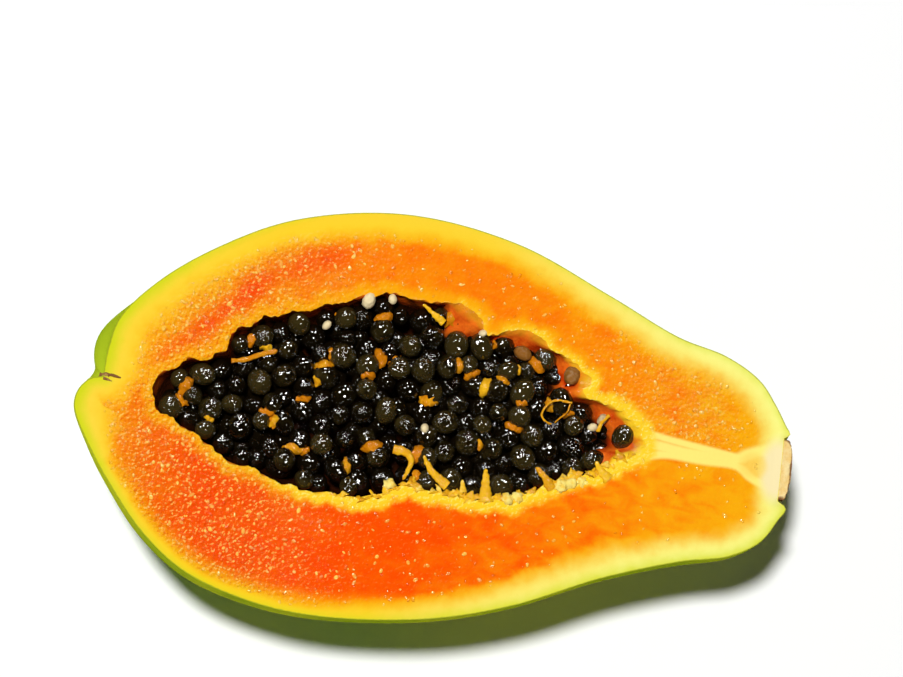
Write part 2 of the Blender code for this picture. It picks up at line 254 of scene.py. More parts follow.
# Seeds that never ripened: along, across, up, radius, and from 0 brown to 1 cream.
UNRIPE = [
    (61.3, 27.6, -1.2, 1.7, 1.0), (67.0, 29.0, -1.4, 1.1, 1.0), (51.8, 20.2, -1.6, 1.0, 0.9),
    (100.2, 19.9, -0.9, 1.9, 0.0), (113.0, 16.4, -1.5, 2.1, 0.1), (121.5, 6.6, -2.0, 1.2, 0.5),
    (89.8, 23.4, -0.6, 0.9, 0.9), (78.5, -1.8, -0.6, 1.0, 0.9), (119.4, 4.2, -1.4, 0.9, 0.8),
]

# Tongues and threads of the tissue that held the seeds, in mm: points (along, across, up),
# half width and from 0 amber to 1 yellow.
TONGUES = [
    ([(71.6, -7.9, 0.0), (74.4, -8.4, 0.4), (76.2, -10.2, 0.5), (75.6, -12.8, 0.1),
      (74.8, -15.0, -0.5)], 1.0, 0.6),
    ([(85.6, -15.0, -0.4), (83.0, -13.4, 0.0), (80.7, -11.3, 0.3), (79.1, -8.5, 0.2)], 1.15, 0.7),
    ([(95.4, -17.6, -0.4), (94.8, -13.8, 0.1), (94.6, -11.8, 0.3), (94.3, -9.8, 0.1)], 1.5, 0.75),
    ([(111.0, -12.4, -0.3), (109.6, -10.6, 0.2), (108.3, -9.3, 0.3), (106.6, -7.6, 0.0)], 1.2, 0.5),
    ([(124.6, -8.2, -0.3), (122.8, -6.6, 0.0), (121.8, -5.6, 0.2), (120.9, -4.3, 0.1)], 1.3, 0.9),
    ([(89.6, -16.0, -0.4), (89.3, -14.6, 0.1), (89.0, -13.2, 0.1)], 0.8, 1.1),
    ([(80.0, 24.6, -0.4), (77.8, 26.0, 0.2), (75.6, 27.6, 0.1), (74.4, 28.4, -0.4)], 0.8, 0.9),
    ([(30.0, 8.0, 0.2), (33.4, 8.8, 0.5), (37.0, 10.6, 0.4), (40.6, 12.0, 0.0)], 0.6, 0.2),
    ([(113.4, 9.2, 0.3), (111.2, 9.4, 0.6), (108.8, 9.0, 0.6), (107.0, 7.2, 0.6), (106.4, 5.4, 0.5),
      (107.2, 4.0, 0.3), (109.0, 3.4, 0.0)], 0.24, 0.5),
    ([(113.0, 8.8, 0.3), (112.4, 6.6, 0.5), (110.8, 5.0, 0.5), (109.8, 3.8, 0.2)], 0.16, 0.3),
    ([(123.0, 7.6, -1.4), (121.6, 6.0, -1.2), (120.8, 3.4, -1.5)], 0.5, 0.6),
]
# Pale lumps of the same tissue on the cavity's lower edge: along, across, half width.
CRUMBS = [
    (113.4, -11.2, 1.7), (115.6, -10.4, 1.3), (118.0, -9.6, 1.2), (100.6, -16.2, 1.5),
    (103.0, -15.6, 1.2), (71.6, -16.6, 1.3),
]
# Shreds between two seeds, in mm: half their length, how deep the seeds may lie, how far apart
# they are, and by how much one may be the higher.
SHRED_DRAW = 12
SHREDS = 46
SHRED_REACH = (0.9, 2.2)
SHRED_DEPTH = 5.5
SHRED_SPAN = (3.0, 6.5)
SHRED_STEP = 2.5
# Tufts on the mouth's edge, at most, and how long they are, in mm.
FRINGE = 420
FRINGE_REACH = (0.5, 2.8)
# Wet grains and droplets on the cut face, in mm, and how high they are for their width.
BEAD_DRAW = 5
BEADS_TRIED = 15000
BEAD_RADIUS = (0.2, 0.5)
BEAD_HEIGHT = 0.4
# Dried remains of the flower in the dimple, in mm: points and half width.
SCAR = [
    ([(-0.8, 0.4, -0.5), (0.8, 0.6, 0.0), (2.6, 0.5, 0.0), (4.2, 0.2, -0.2)], 0.6),
    ([(-1.0, -0.4, -0.8), (0.6, -0.5, -0.1), (2.2, -0.9, -0.2)], 0.55),
    ([(-0.6, 0.0, -2.0), (0.2, 0.2, -1.0), (1.4, 0.1, 0.0)], 0.6),
]

# The stalk's dried stub, in mm.
STUB_GAP = 0.3
STUB_SUNK = 0.15
STUB_RADIUS = 7.4
STUB_THICKNESS = 1.4
STUB_DOME = 1.4
STUB_NOTCHES = ((7, 0.03), (16, 0.022))
# Its pits and the marks on its cut: how deep, and how large.
STUB_PITS, STUB_PIT_SIZE = 0.45, 1.3
STUB_SAW, STUB_SAW_SIZE = 0.12, 0.9

# The camera looks down on the cut face from a little below and to the left of square on.
# The aim is the place on the cut face at the middle of the view, in mm on the fruit.
VIEW_AIM = (82.32, 20.95)
VIEW_ROLL = 6.85
VIEW_FROM_BELOW = 10.0
VIEW_FROM_LEFT = 7.0
VIEW_DISTANCE = 0.9
VIEW_LENS = 147.5

# Side of the floor, its gap under the fruit, which keeps their faces apart, in metres, and
# its two greys.
FLOOR_SIDE = 8.0
FLOOR_GAP = 0.00005
FLOOR_GREYS = (0.95, 0.97)

# The main lamp, and small bright lamps that show only as reflections: place and size in
# metres.
KEY_LIGHT = ((-0.5, 0.11, 2.5), 0.25)
GLINTS = [
    ((-0.14, 0.34, 0.60), 0.12), ((-0.42, 0.16, 0.56), 0.1), ((0.24, 0.38, 0.52), 0.09),
    ((-0.1, 0.58, 0.33), 0.08), ((0.14, -0.26, 0.62), 0.07),
]


class Wire:
    """A node's output. Plain arithmetic on it adds Math nodes."""

    def __init__(self, nodes, socket):
        self.nodes, self.socket = nodes, socket

    def other(self, name):
        return Wire(self.nodes, self.socket.node.outputs[name])

    def math(self, operation, *values):
        return self.nodes.add("ShaderNodeMath", {"operation": operation}, dict(enumerate(values)))

    def __add__(self, value):
        return self.math("ADD", self, value)

    def __sub__(self, value):
        return self.math("SUBTRACT", self, value)

    def __mul__(self, value):
        return self.math("MULTIPLY", self, value)

    def __rsub__(self, value):
        return self.math("SUBTRACT", value, self)

    __radd__, __rmul__ = __add__, __mul__

    def rises(self, low, high):
        """0 below low and 1 above high, smooth between. It falls instead where high is less."""
        if high < low:
            return 1.0 - self.rises(high, low)
        settings = {"interpolation_type": "SMOOTHSTEP"}
        return self.nodes.add("ShaderNodeMapRange", settings, {0: self, 1: low, 2: high})


class Nodes:
    """Adds nodes to one tree."""

    def __init__(self, tree):
        self.tree = tree

    def feed(self, socket, value):
        """Links a wire or each wire of a list to a socket, or sets the socket's own value."""
        wires = value if isinstance(value, list) else [value]
        if isinstance(wires[0], Wire):
            for wire in wires:
                self.tree.links.new(wire.socket, socket)
        else:
            socket.default_value = value

    def add(self, kind, settings=None, sockets=None, output=0):
        """A node with its settings, then its sockets' values or wires, as its output's wire."""
        node = self.tree.nodes.new(kind)
        for name, value in (settings or {}).items():
            setattr(node, name, value)
        for key, value in (sockets or {}).items():
            self.feed(node.inputs[key], value)
        return Wire(self, node.outputs[output]) if len(node.outputs) else node

    def mix(self, share, one, other):
        """One colour where the share is 0, the other where it is 1."""
        one, other = (c if isinstance(c, Wire) else (*c, 1.0) for c in (one, other))
        sockets = {0: share, 6: one, 7: other}
        return self.add("ShaderNodeMix", {"data_type": "RGBA"}, sockets, output=2)

    def over(self, colour, *layers):
        """A colour with others laid over it in turn, each (share, colour)."""
        for share, layer in layers:
            colour = self.mix(share, colour, layer)
        return colour

    def noise(self, repeats, detail=0.0, stretch=(1, 1, 1), shift=(0, 0, 0), twist=0.0):
        """A smooth 3D pattern with this many repeats a millimetre, moved by a shift in mm."""
        sockets = {"Detail": detail, "Distortion": twist}
        return self.texture("ShaderNodeTexNoise", None, repeats, sockets, stretch, shift)

    def cells(self, repeats, soft=0.0):
        """A 3D pattern of cells, 0 in the middle of each."""
        kind = "ShaderNodeTexVoronoi"
        if soft:
            return self.texture(kind, {"feature": "SMOOTH_F1"}, repeats, {"Smoothness": soft})
        return self.texture(kind, None, repeats, {})

    def texture(self, kind, settings, repeats, sockets, stretch=(1, 1, 1), shift=(0, 0, 0)):
        place = self.add("ShaderNodeTexCoord").other("Object")
        moved = tuple(step * MM for step in shift)
        mapping = {"Vector": place, "Location": moved, "Scale": stretch}
        place = self.add("ShaderNodeMapping", None, mapping)
        return self.add(kind, settings, {"Vector": place, "Scale": repeats / MM, **sockets})


class Paint(Nodes):
    """A material under construction, on one Principled shader."""

    def __init__(self, name, **values):
        self.material = bpy.data.materials.new(name)
        self.material.use_nodes = True
        super().__init__(self.material.node_tree)
        self.shader = self.tree.nodes["Principled BSDF"]
        self.set(**values)

    def set(self, **values):
        """Sets or links the shader's sockets, named with _ for each space."""
        for key, value in values.items():
            self.feed(self.shader.inputs[key.replace("_", " ")], value)

    def attribute(self, name):
        return self.add("ShaderNodeAttribute", {"attribute_name": name}, output="Fac")

    def finish(self, colour, height=None, distance=0.5, strength=1.0, **values):
        """The finished material, of this colour, with a relief of this height in mm."""
        if height:
            sockets = {"Height": height, "Distance": distance * MM, "Strength": strength}
            values["Normal"] = self.add("ShaderNodeBump", None, sockets)
        self.set(Base_Color=colour, **values)
        return self.material


# Sizes and lines

def smooth_line(knots, shares):
    """Points at these shares of the length of a smooth line through the knots."""
    knots = np.array(knots, float)
    chords = np.linalg.norm(np.diff(knots, axis=0), axis=1)
    when = np.concatenate([[0.0], np.cumsum(np.sqrt(chords))])
    slope = np.gradient(knots, when, axis=0)
    fine = np.linspace(0.0, when[-1], 40 * len(knots))
    at = np.clip(np.searchsorted(when, fine, side="right") - 1, 0, len(knots) - 2)
    step = (when[at + 1] - when[at])[:, None]
    u = (fine - when[at])[:, None] / step
    line = (
        (2 * u**3 - 3 * u**2 + 1) * knots[at]
        + (u**3 - 2 * u**2 + u) * step * slope[at]
        + (3 * u**2 - 2 * u**3) * knots[at + 1]
        + (u**3 - u**2) * step * slope[at + 1]
    )
    return along_line(line, shares)


def along_line(line, shares):
    """Points at these shares of the length of a line of many points."""
    run = np.concatenate([[0.0], np.cumsum(np.linalg.norm(np.diff(line, axis=0), axis=1))])
    wanted = np.asarray(shares) * run[-1]
    return np.stack([np.interp(wanted, run, line[:, k]) for k in range(line.shape[1])], axis=1)


def mouth_line(count):
    """Count points, evenly spaced, on the smooth closed line of the cavity's mouth."""
    lapped = CAVITY_MOUTH[-3:] + CAVITY_MOUTH + CAVITY_MOUTH[:3]
    line = smooth_line(lapped, np.linspace(0.0, 1.0, 60 * len(CAVITY_MOUTH)))
    gap = np.linalg.norm(line - np.array(CAVITY_MOUTH[0]), axis=1)
    half = len(line) // 2
    loop = line[np.argmin(gap[:half]):half + np.argmin(gap[half:]) + 1]
    return along_line(loop, np.linspace(0.0, 1.0, count, endpoint=False))


def by_place(key, x, y, blend=5.0):
    """The value that two lists of ALONG give above the axis and below it."""
    up, down = (np.interp(x, *zip(*line)) for line in ALONG[key])
    share = np.clip(0.5 + y / (2 * blend), 0.0, 1.0)
    share = share * share * (3 - 2 * share)
    return up * share + down * (1 - share)


def distance_to(points, line, closed):
    """How far each point is from a line of many points, and the nearest place on it."""
    ends = np.roll(line, -1, axis=0)
    best = np.full(len(points), np.inf)
    place = np.zeros((len(points), 2))
    for start, end in list(zip(line, ends))[:len(line) if closed else -1]:
        side = end - start
        share = np.clip((points - start) @ side / max(side @ side, 1e-9), 0.0, 1.0)
        nearest = start + share[:, None] * side
        gap = np.linalg.norm(points - nearest, axis=1)
        closer = gap < best
        best[closer] = gap[closer]
        place[closer] = nearest[closer]
    return best, place


def gap_to(points, knots):
    """How far each point is from a smooth open line through the knots."""
    return distance_to(points, smooth_line(knots, np.linspace(0, 1, 24)), closed=False)[0]


def inside(points, line):
    """Which points are within a closed line."""
    found = np.zeros(len(points), bool)
    for start, end in zip(line, np.roll(line, -1, axis=0)):
        rising = (start[1] > points[:, 1]) != (end[1] > points[:, 1])
        if rising.any():
            side = end - start
            crossing = start[0] + side[0] * (points[:, 1] - start[1]) / side[1]
            found ^= rising & (crossing > points[:, 0])
    return found


def lobe_share(angle):
    """How far a lobe stands out at this angle, made nothing at both rims and along the back."""
    return np.cos(LOBES * (angle - LOBE_AT)) - np.cos(angle - LOBE_AT)


def basin_scale(depth):
    """How wide the cavity still is at this depth, as a share of its mouth."""
    return (1.0 - min(depth / CAVITY_DEPTH, 1.0) ** CAVITY_POWER) ** (1.0 / CAVITY_POWER)


def soft_noise(points, size, seed=0.0):
    """A smooth random value from about -1 to 1 at each point, with features of this size."""
    shift = Vector((seed, 0, 0))
    return np.array([noise.noise(Vector((*point, seed)[:3]) / size + shift) for point in points])


def dents(grid, size, seed=0.0):
    """How deep a dent is at each point of a grid, from 0 to about 1."""
    return np.abs(soft_noise(grid.reshape(-1, 3), size, seed).reshape(grid.shape[:2]))


def crumpled(points, depth, size, seed, step=0.0):
    """Points moved by a smooth random amount. With a step it differs in x, y and z."""
    moves = [soft_noise(points, size, seed + k * step) for k in range(3)]
    return points + depth * np.stack(moves, axis=1)


def unit(vectors):
    """The rows of an array, each made 1 long."""
    return vectors / np.linalg.norm(vectors, axis=1)[:, None]


def numbered(first, rows, columns):
    """A grid of vertex numbers, counted on from the first."""
    return first + np.arange(rows * columns).reshape(rows, columns)


# The shift from the fruit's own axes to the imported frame

def frame_shift():
    """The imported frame's origin is under the middle of the fruit, the fruit's own at the dimple."""
    shares = np.linspace(0.0, 1.0, STATIONS)
    top = smooth_line(UPPER_RIM, shares)[:, 1].max()
    low = smooth_line(LOWER_RIM, shares)[:, 1].max()
    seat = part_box("stalk_stub")[0].x - (SEAT_AT + STUB_GAP) * MM
    return np.array([seat, (low - top) / 2 * MM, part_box("fruit_half")[1].z])


SHIFT = frame_shift()


def placed(points):
    """Points in mm on the fruit's own axes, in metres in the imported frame."""
    return np.asarray(points, float) * MM + SHIFT


def add_mesh(name, points, faces, values):
    """A mesh object from points in mm, with a number for each point under each name."""
    mesh = bpy.data.meshes.new(name)
    mesh.from_pydata(placed(points).tolist(), [], [list(face) for face in faces])
    for key, numbers in values.items():
        attribute = mesh.attributes.new(key, "FLOAT", "POINT")
        attribute.data.foreach_set("value", np.asarray(numbers, np.float32))
    obj = bpy.data.objects.new(name, mesh)
    bpy.context.scene.collection.objects.link(obj)
    return obj


def shell(name, points, faces, values, materials, sharp=35):
    """A closed mesh with its faces outwards, smooth but for edges sharper than this."""
    obj = add_mesh(name, points, faces, values)
    bm = bmesh.new()
    bm.from_mesh(obj.data)
    bmesh.ops.recalc_face_normals(bm, faces=bm.faces)
    bm.to_mesh(obj.data)
    bm.free()
    obj.data.shade_smooth()
    obj.data.set_sharp_from_angle(angle=math.radians(sharp))
    for material in materials:
        obj.data.materials.append(material)
    return obj


def finished(obj, slot, *nodes):
    """Makes an object a piece of the fruit."""
    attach(obj, BODY)
    if nodes:
        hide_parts(*nodes)
    return obj


# Node trees for geometry

def new_tree(name, sizes):
    """A geometry tree with these named inputs, its nodes and the input values as wires."""
    tree = bpy.data.node_groups.new(name, "GeometryNodeTree")
    tree.interface.new_socket("Geometry", in_out="INPUT", socket_type="NodeSocketGeometry")
    tree.interface.new_socket("Geometry", in_out="OUTPUT", socket_type="NodeSocketGeometry")
    for label, value in sizes.items():
        socket = tree.interface.new_socket(label, in_out="INPUT", socket_type="NodeSocketFloat")
        socket.default_value = value
    nodes = Nodes(tree)
    entry = nodes.add("NodeGroupInput")
    return nodes, entry


def end_tree(nodes, geometry, material):
    """Closes a tree: one plain mesh, shaded smooth, with its material."""
    real = nodes.add("GeometryNodeRealizeInstances", None, {0: geometry})
    shaded = nodes.add("GeometryNodeSetShadeSmooth", None, {0: real, "Shade Smooth": True})
    painted = nodes.add("GeometryNodeSetMaterial", None, {0: shaded, "Material": material})
    nodes.add("NodeGroupOutput", None, {0: painted})


def named(nodes, name):
    sockets = {"Name": name}
    return nodes.add("GeometryNodeInputNamedAttribute", {"data_type": "FLOAT"}, sockets)


def strewn(nodes, entry, shape, scale, lean, seed, more=None):
    """The shape at each point, turned any way round and leaning by up to this much."""
    angles = nodes.add("FunctionNodeRandomValue", {"data_type": "FLOAT_VECTOR"}, {
        0: (-lean, -lean, 0.0), 1: (lean, lean, 6.28), "Seed": seed})
    turn = nodes.add("FunctionNodeEulerToRotation", None, {0: angles})
    return nodes.add("GeometryNodeInstanceOnPoints", None, {
        "Points": entry, "Instance": shape, "Scale": scale, "Rotation": turn, **(more or {})})


def grown(name, points, values, grow, material, sizes):
    """The plain mesh that a tree makes of points in mm."""
    obj = add_mesh(name, points, (), values)
    tree = grow(material, sizes).tree
    modifier = obj.modifiers.new("grown", "NODES")
    modifier.node_group = tree
    for item in tree.interface.items_tree:
        if item.in_out == "INPUT" and item.name in sizes:
            modifier[item.identifier] = sizes[item.name]
    bpy.context.view_layer.update()
    graph = bpy.context.evaluated_depsgraph_get()
    made = bpy.data.meshes.new_from_object(obj.evaluated_get(graph), depsgraph=graph)
    obj.modifiers.clear()
    obj.data = made
    return obj


# The fruit's surface

def skin_grid():
    """Rows of skin points in mm: a row for each station along, from the upper rim to the lower."""
    shares = np.linspace(0.0, 1.0, STATIONS)[1:] ** STATION_CROWDING
    upper, lower, back = (smooth_line(line, shares) for line in (UPPER_RIM, LOWER_RIM, BACK))
    angle = np.linspace(0.0, math.pi, ROUND_STEPS + 1)
    side, under, lobe = np.cos(angle), np.sin(angle), lobe_share(angle)
    rim = np.where((angle <= math.pi / 2)[None, :, None], upper[:, None], lower[:, None])
    blossom = np.exp(-((shares / BLOSSOM_SHARE) ** 2))
    swell = (BODY_SWELL + BLOSSOM_SWELL * blossom) * np.sin(math.pi * shares)
    reach = BLOSSOM_REACH * blossom * np.sin(math.pi * np.minimum(shares / BLOSSOM_SHARE, 1.0))
    wide = 1 + swell[:, None] * lobe
    x = rim[:, :, 0] * side**2 + back[:, None, 0] * under**2 - reach[:, None] * lobe
    y = rim[:, :, 1] * side * wide
    z = -back[:, None, 1] * under * wide
    way = unit(np.gradient(lower, axis=0))
    way = np.stack([-way[:, 1], way[:, 0]], axis=1)
    turn = (math.pi - angle) / CHEEK_AT
    cheek = np.interp(shares, *zip(*CHEEK))[:, None] * (turn * np.exp(1 - turn))[None]
    cheek *= (angle > math.pi / 2)[None]
    x += cheek * way[:, :1]
    y -= cheek * way[:, 1:]
    grid = np.stack([x, y, z], axis=2)
    inward = SKIN_INSET + SKIN_DENTS * under * dents(grid, SKIN_DENT_SIZE)
    around = grid * [0, 1, 1]
    length = np.maximum(np.linalg.norm(around, axis=2), 1e-6)
    shrink = np.minimum(inward / length, 0.3) * np.minimum(length / 4.0, 1.0)
    grid[:, :, 1:] *= (1 - shrink)[:, :, None]
    grid[:, :, 2] = np.maximum(grid[:, :, 2], -REST_DEPTH)
    return grid


def ragged_mouth():
    """The mouth's line from the left tip on over the upper edge, the same with the small bays
    and tufts of torn tissue, and where on both the right tip is."""
    line = mouth_line(1500)[::-1]
    start = np.argmin(np.linalg.norm(line - np.array(MOUTH_LEFT), axis=1))
    line = np.roll(line, -start, axis=0)
    tangent = unit(np.roll(line, -1, axis=0) - np.roll(line, 1, axis=0))
    normal = np.stack([tangent[:, 1], -tangent[:, 0]], axis=1)
    fibrous = by_place("lining", line[:, 0], line[:, 1])
    wave = soft_noise(line, MOUTH_BAY, 3.0)
    wave = wave + (0.5 + 0.35 * fibrous) * soft_noise(line, MOUTH_TUFT, 7.0)
    turn = np.argmin(np.linalg.norm(line - np.array(MOUTH_RIGHT), axis=1))
    return line, line + normal * wave[:, None], turn


def matched_mouth(rim, upper_count, seat_count):
    """A point on the cavity's mouth for each point of the rim, in the same order: first on the
    smooth line, then on the ragged one."""
    smooth, ragged, turn = ragged_mouth()
    tip = MOUTH_TIP
    run = np.concatenate([[0.0], np.cumsum(np.linalg.norm(np.diff(rim, axis=0), axis=1))])
    last = upper_count + seat_count + 1
    above = run[:upper_count + 1] / run[upper_count] * (1 - tip)
    around_tip = np.linspace(1 - tip, 1 + tip, seat_count + 2)[1:-1]
    whole = run[-1] + np.linalg.norm(rim[-1] - rim[0])
    below = 1 + tip + (run[last:] - run[last]) / (whole - run[last]) * (1 - tip)
    shares = np.concatenate([above, around_tip, below])
    found = []
    for line in (smooth, ragged):
        first = along_line(line[:turn + 1], np.clip(shares, 0, 1))
        second = along_line(np.vstack([line[turn:], line[:1]]), np.clip(shares - 1, 0, 1))
        found.append(np.where(shares[:, None] <= 1, first, second))
    return found


def face_values(points, rim, mouth):
    """What the flesh's colours and relief depend on, for points of the cut face and the wall."""
    flat = points[:, :2]
    x, y = flat.T
    rim_gap, rim_place = distance_to(flat, rim, closed=True)
    mouth_gap, mouth_place = distance_to(flat, mouth, closed=True)
    rim_x, rim_y = rim_place.T
    rind = by_place("rind", rim_x, rim_y, 3.0)
    rind *= 1 + 0.14 * soft_noise(flat, 9.0, 2.0)
    fibre = np.zeros(len(flat))
    for line, half_width in FIBRES:
        share = 1.25 - gap_to(flat, line) / (half_width * 1.6)
        fibre = np.maximum(fibre, np.clip(share, 0.0, 1.0))
    red = by_place("red", x, y)
    for line, half_width, more in RED_STREAKS:
        red += more * np.exp(-((gap_to(flat, line) / half_width) ** 2))
    ovals = [np.hypot((x - cx) / rx, (y - cy) / ry) for cx, cy, rx, ry in (PITH, SEAT_PALE)]
    return {
        "rim_gap": rim_gap,
        "mouth_gap": mouth_gap,
        "rind": rim_gap / rind,
        "red": red,
        "pale": by_place("pale", x, y),
        "grain": by_place("grain", x, y) * (1 - fibre),
        "lime": by_place("lime", x, y),
        "lining": by_place("lining", *mouth_place.T, 3.0),
        "fibre": fibre,
        "pith": np.clip(1.5 - ovals[0], 0.0, 1.0),
        "seat_pale": np.clip(1.6 - ovals[1], 0.0, 1.0),
        "depth": -points[:, 2],
    }


def face_relief(points, values):
    """How far the cut face sinks below the knife's plane, in mm."""
    within = np.clip(values["rim_gap"] / 2.0, 0, 1)
    broad = 0.5 + 0.5 * soft_noise(points[:, :2], FACE_DIP_SIZE, 5.0)
    small = 0.5 + 0.5 * soft_noise(points[:, :2], GRAIN_DIP_SIZE, 9.0)
    lip = np.exp(-values["mouth_gap"] / LIP_WIDTH) * LIP_DROP
    return within * (FACE_DIP * broad + GRAIN_DIP * small * values["grain"]) + lip


def bay_share(points):
    """1 in the middle of a bare bay, 0 away from them."""
    share = np.zeros(len(points))
    for x, y, reach in BARE_BAYS:
        gap = np.hypot(points[:, 0] - x, points[:, 1] - y)
        share = np.maximum(share, np.clip(1.6 - gap / reach, 0.0, 1.0))
    return share


def fruit_surface():
    """Points, faces and values of the whole fruit, and which faces are skin (0), flesh (1) or
    cavity wall (2)."""
    grid = skin_grid()
    rows, columns = grid.shape[:2]
    points = [np.zeros((1, 3)), grid.reshape(-1, 3)]
    number = numbered(1, rows, columns)
    faces = [(0, number[0, j], number[0, j + 1]) for j in range(columns - 1)]
    faces += quads(number, closed=False)
    arc = grid[-1]
    steps = np.linspace(0.0, 1.0, 9)[1:, None]
    seat = np.stack([arc[1:-1] * [1, 1, 1 - step] for step in steps[:, 0]])
    seat_number = numbered(1 + rows * columns, *seat.shape[:2])
    points.append(seat.reshape(-1, 3))
    sides = np.vstack([number[-1, 1:-1], seat_number])
    faces += quads(sides, closed=False)
    left, right = number[-1, 0], number[-1, -1]
    for one, other in zip(sides, sides[1:]):
        faces += [(left, one[0], other[0]), (one[-1], right, other[-1])]
    material = [0] * len(faces)
    loop = np.concatenate([[0], number[:, 0], seat_number[-1], number[::-1, -1]])
    stacked = np.vstack(points)
    rim = stacked[loop, :2]
    smooth_mouth, mouth = matched_mouth(rim, rows, columns - 2)
    share = np.linspace(0.0, 1.0, FACE_RINGS + 1)[1:, None, None]
    share = 0.4 * share + 0.6 * (0.5 - 0.5 * np.cos(math.pi * share))
    flat = rim[None] + (mouth - rim)[None] * share
    face_points = np.concatenate([flat, np.zeros(flat.shape[:2] + (1,))], axis=2).reshape(-1, 3)
    values = face_values(face_points, rim, mouth)
    face_points[:, 2] -= face_relief(face_points, values)
    wall = wall_points(smooth_mouth, mouth, face_points.reshape(FACE_RINGS, -1, 3)[-1, :, 2])
    wall_values = face_values(wall, rim, mouth)
    wall_values["mouth_gap"] = np.abs(wall[:, 2])
    first = len(stacked)
    around = len(loop)
    rings = np.vstack([loop, numbered(first, FACE_RINGS, around)])
    face_quads = quads(rings, closed=True)
    wall_first = first + FACE_RINGS * around
    deep = np.vstack([rings[-1], numbered(wall_first, len(WALL_DEPTHS), around)])
    wall_quads = quads(deep, closed=True)
    bottom = wall_first + len(wall)
    wall_quads += [(deep[-1][i], deep[-1][(i + 1) % around], bottom) for i in range(around)]
    everything = np.vstack([stacked, face_points, wall, [[*CAVITY_MIDDLE, -CAVITY_DEPTH]]])
    merged = {
        key: np.concatenate([np.zeros(first), values[key], wall_values[key], [CAVITY_DEPTH]])
        for key in values
    }
    merged["depth"][:first] = -stacked[:, 2]
    material += [1] * len(face_quads) + [2] * len(wall_quads)
    return everything, faces + face_quads + wall_quads, merged, material


def wall_points(smooth, ragged, edge_level):
    """Rings of points down the cavity's wall, each set from the mouth's line."""
    middle = np.array(CAVITY_MIDDLE)
    bay = bay_share(smooth)
    inward = unit(middle - smooth)
    rings = []
    for depth in WALL_DEPTHS:
        mouth = smooth + (ragged - smooth) * math.exp(-depth / RAGGED_DEPTH)
        spread = middle + (mouth - middle) * basin_scale(depth)
        spread += inward * (bay * BAY_SLOPE * min(depth, BAY_DEPTH))[:, None]
        deep = np.c_[spread, np.full(len(spread), depth)]
        lumps = WALL_LUMPS * soft_noise(deep, WALL_LUMP_SIZE, 4.0)
        spread += inward * (lumps * min(depth / 2, 1.0))[:, None]
        level = edge_level * max(1 - depth, 0.0) - depth
        rings.append(np.c_[spread, level])
    return np.vstack(rings)


def quads(rows, closed):
    """Faces between rows of vertex numbers."""
    faces = []
    for one, other in zip(rows, rows[1:]):
        after_one, after_other = np.roll(one, -1), np.roll(other, -1)
        strip = np.stack([one, after_one, after_other, other], axis=1)
        faces += (strip if closed else strip[:-1]).tolist()
    return faces


# Finishes of the fruit

def flesh_colour(paint, colours):
    """The colour of the cut flesh from rind to lining, by the values that its mesh carries, with
    painted shade and highlights on the wet grains.
    """
    value = {key: paint.attribute(key) for key in (
        "rim_gap", "mouth_gap", "rind", "red", "pale", "lining", "fibre", "pith", "seat_pale",
        "grain", "lime")}
    broad, cloudy, speck = (paint.noise(repeats, 2.0) - 0.5 for repeats in (0.09, 0.3, 1.1))
    streaks = paint.noise(0.3, 3.0, (0.55, 1.0, 1.0), twist=0.7) - 0.5
    # Painted emboss: a pattern less its shifted copy, for painted light and shade on the grains.
    slope = paint.noise(1.05, 2.0) - paint.noise(1.05, 2.0, shift=PAINTED_GRAIN_LIGHT_FROM)
    across = value["rind"] + cloudy * 0.5 + broad * 0.3
    grainy = value["grain"] * across.rises(0.7, 1.3)
    red = value["red"] + broad * 0.35 + cloudy * 0.3
    red = red * across.rises(0.95, 1.7) * value["rim_gap"].rises(1.5, 7.5)
    red = red * (value["mouth_gap"] + cloudy * 3.0).rises(0.0, 4.5)
    red = red + speck * (grainy * 0.35 + 0.1) + streaks * (value["pale"] + 0.12)
    orange = paint.mix(red.rises(-0.15, 1.15), colours.flesh_light, colours.flesh_deep)
    # Painted shade on the grains' side away from the light, painted highlight on the side towards it.
    slope = slope + speck * 0.35
    orange = paint.over(
        orange,
        (slope.rises(-0.02, -0.2) * grainy * 0.7, colours.painted_grain_shade),
        (slope.rises(0.05, 0.24) * grainy * 0.85, colours.grain),
    )
    rind = paint.mix(value["pale"] * (1.1 - across * 0.6), colours.rind, colours.rind_pale)
    lime = (value["lime"] - value["rim_gap"] * 0.25 + cloudy * 0.4).rises(0.0, 1.1)
    rind = paint.mix(lime, rind, colours.lime)
    reach = value["mouth_gap"] + cloudy * 2.4 + speck * 1.2
    patchy = broad * (2.4 - value["lining"] * 2.0)
    lined = (value["lining"] * 1.6 - reach * 0.38 + patchy + speck * 0.7).rises(0.0, 0.9)
    base = paint.over(
        rind,
        (across.rises(0.45, 1.45), orange),
        (value["fibre"].rises(0.1, 0.9) * 0.9, colours.fibre),
        (value["seat_pale"].rises(0.1, 0.9), colours.seat),
        (value["pith"].rises(0.15, 0.8) * 0.7, colours.pith),
        (lined * 0.95, colours.lining),
        # Painted highlights on the lining, where the same emboss faces the light.
        (lined * slope.rises(0.0, 0.2) * 0.6, colours.fibre),
    )
    edge = (value["rim_gap"] + speck * 0.25 + value["seat_pale"] * 4.0).rises(0.05, 0.35)
    return paint.mix(edge, colours.skin_line, base), value


def flesh_finish(colours):
    paint = Paint("flesh", Roughness=0.2, Specular_IOR_Level=0.035)
    colour, value = flesh_colour(paint, colours)
    strength = value["grain"] * value["rind"].rises(0.6, 1.4)
    height = (paint.cells(1.05) * 0.8 + paint.noise(1.7, 3.0) * 0.6) * (strength * 0.9 + 0.1)
    return paint.finish(colour, height)


def bead_finish(colours):
    """Wet grains and droplets of juice, which take the colour of the flesh that they sit on,
    lightened by a painted sheen.
    """
    paint = Paint("juice_bead", Roughness=0.14, Specular_IOR_Level=0.5)
    colour, _ = flesh_colour(paint, colours)
    return paint.finish(paint.mix(paint.attribute("shine"), colour, colours.juice))


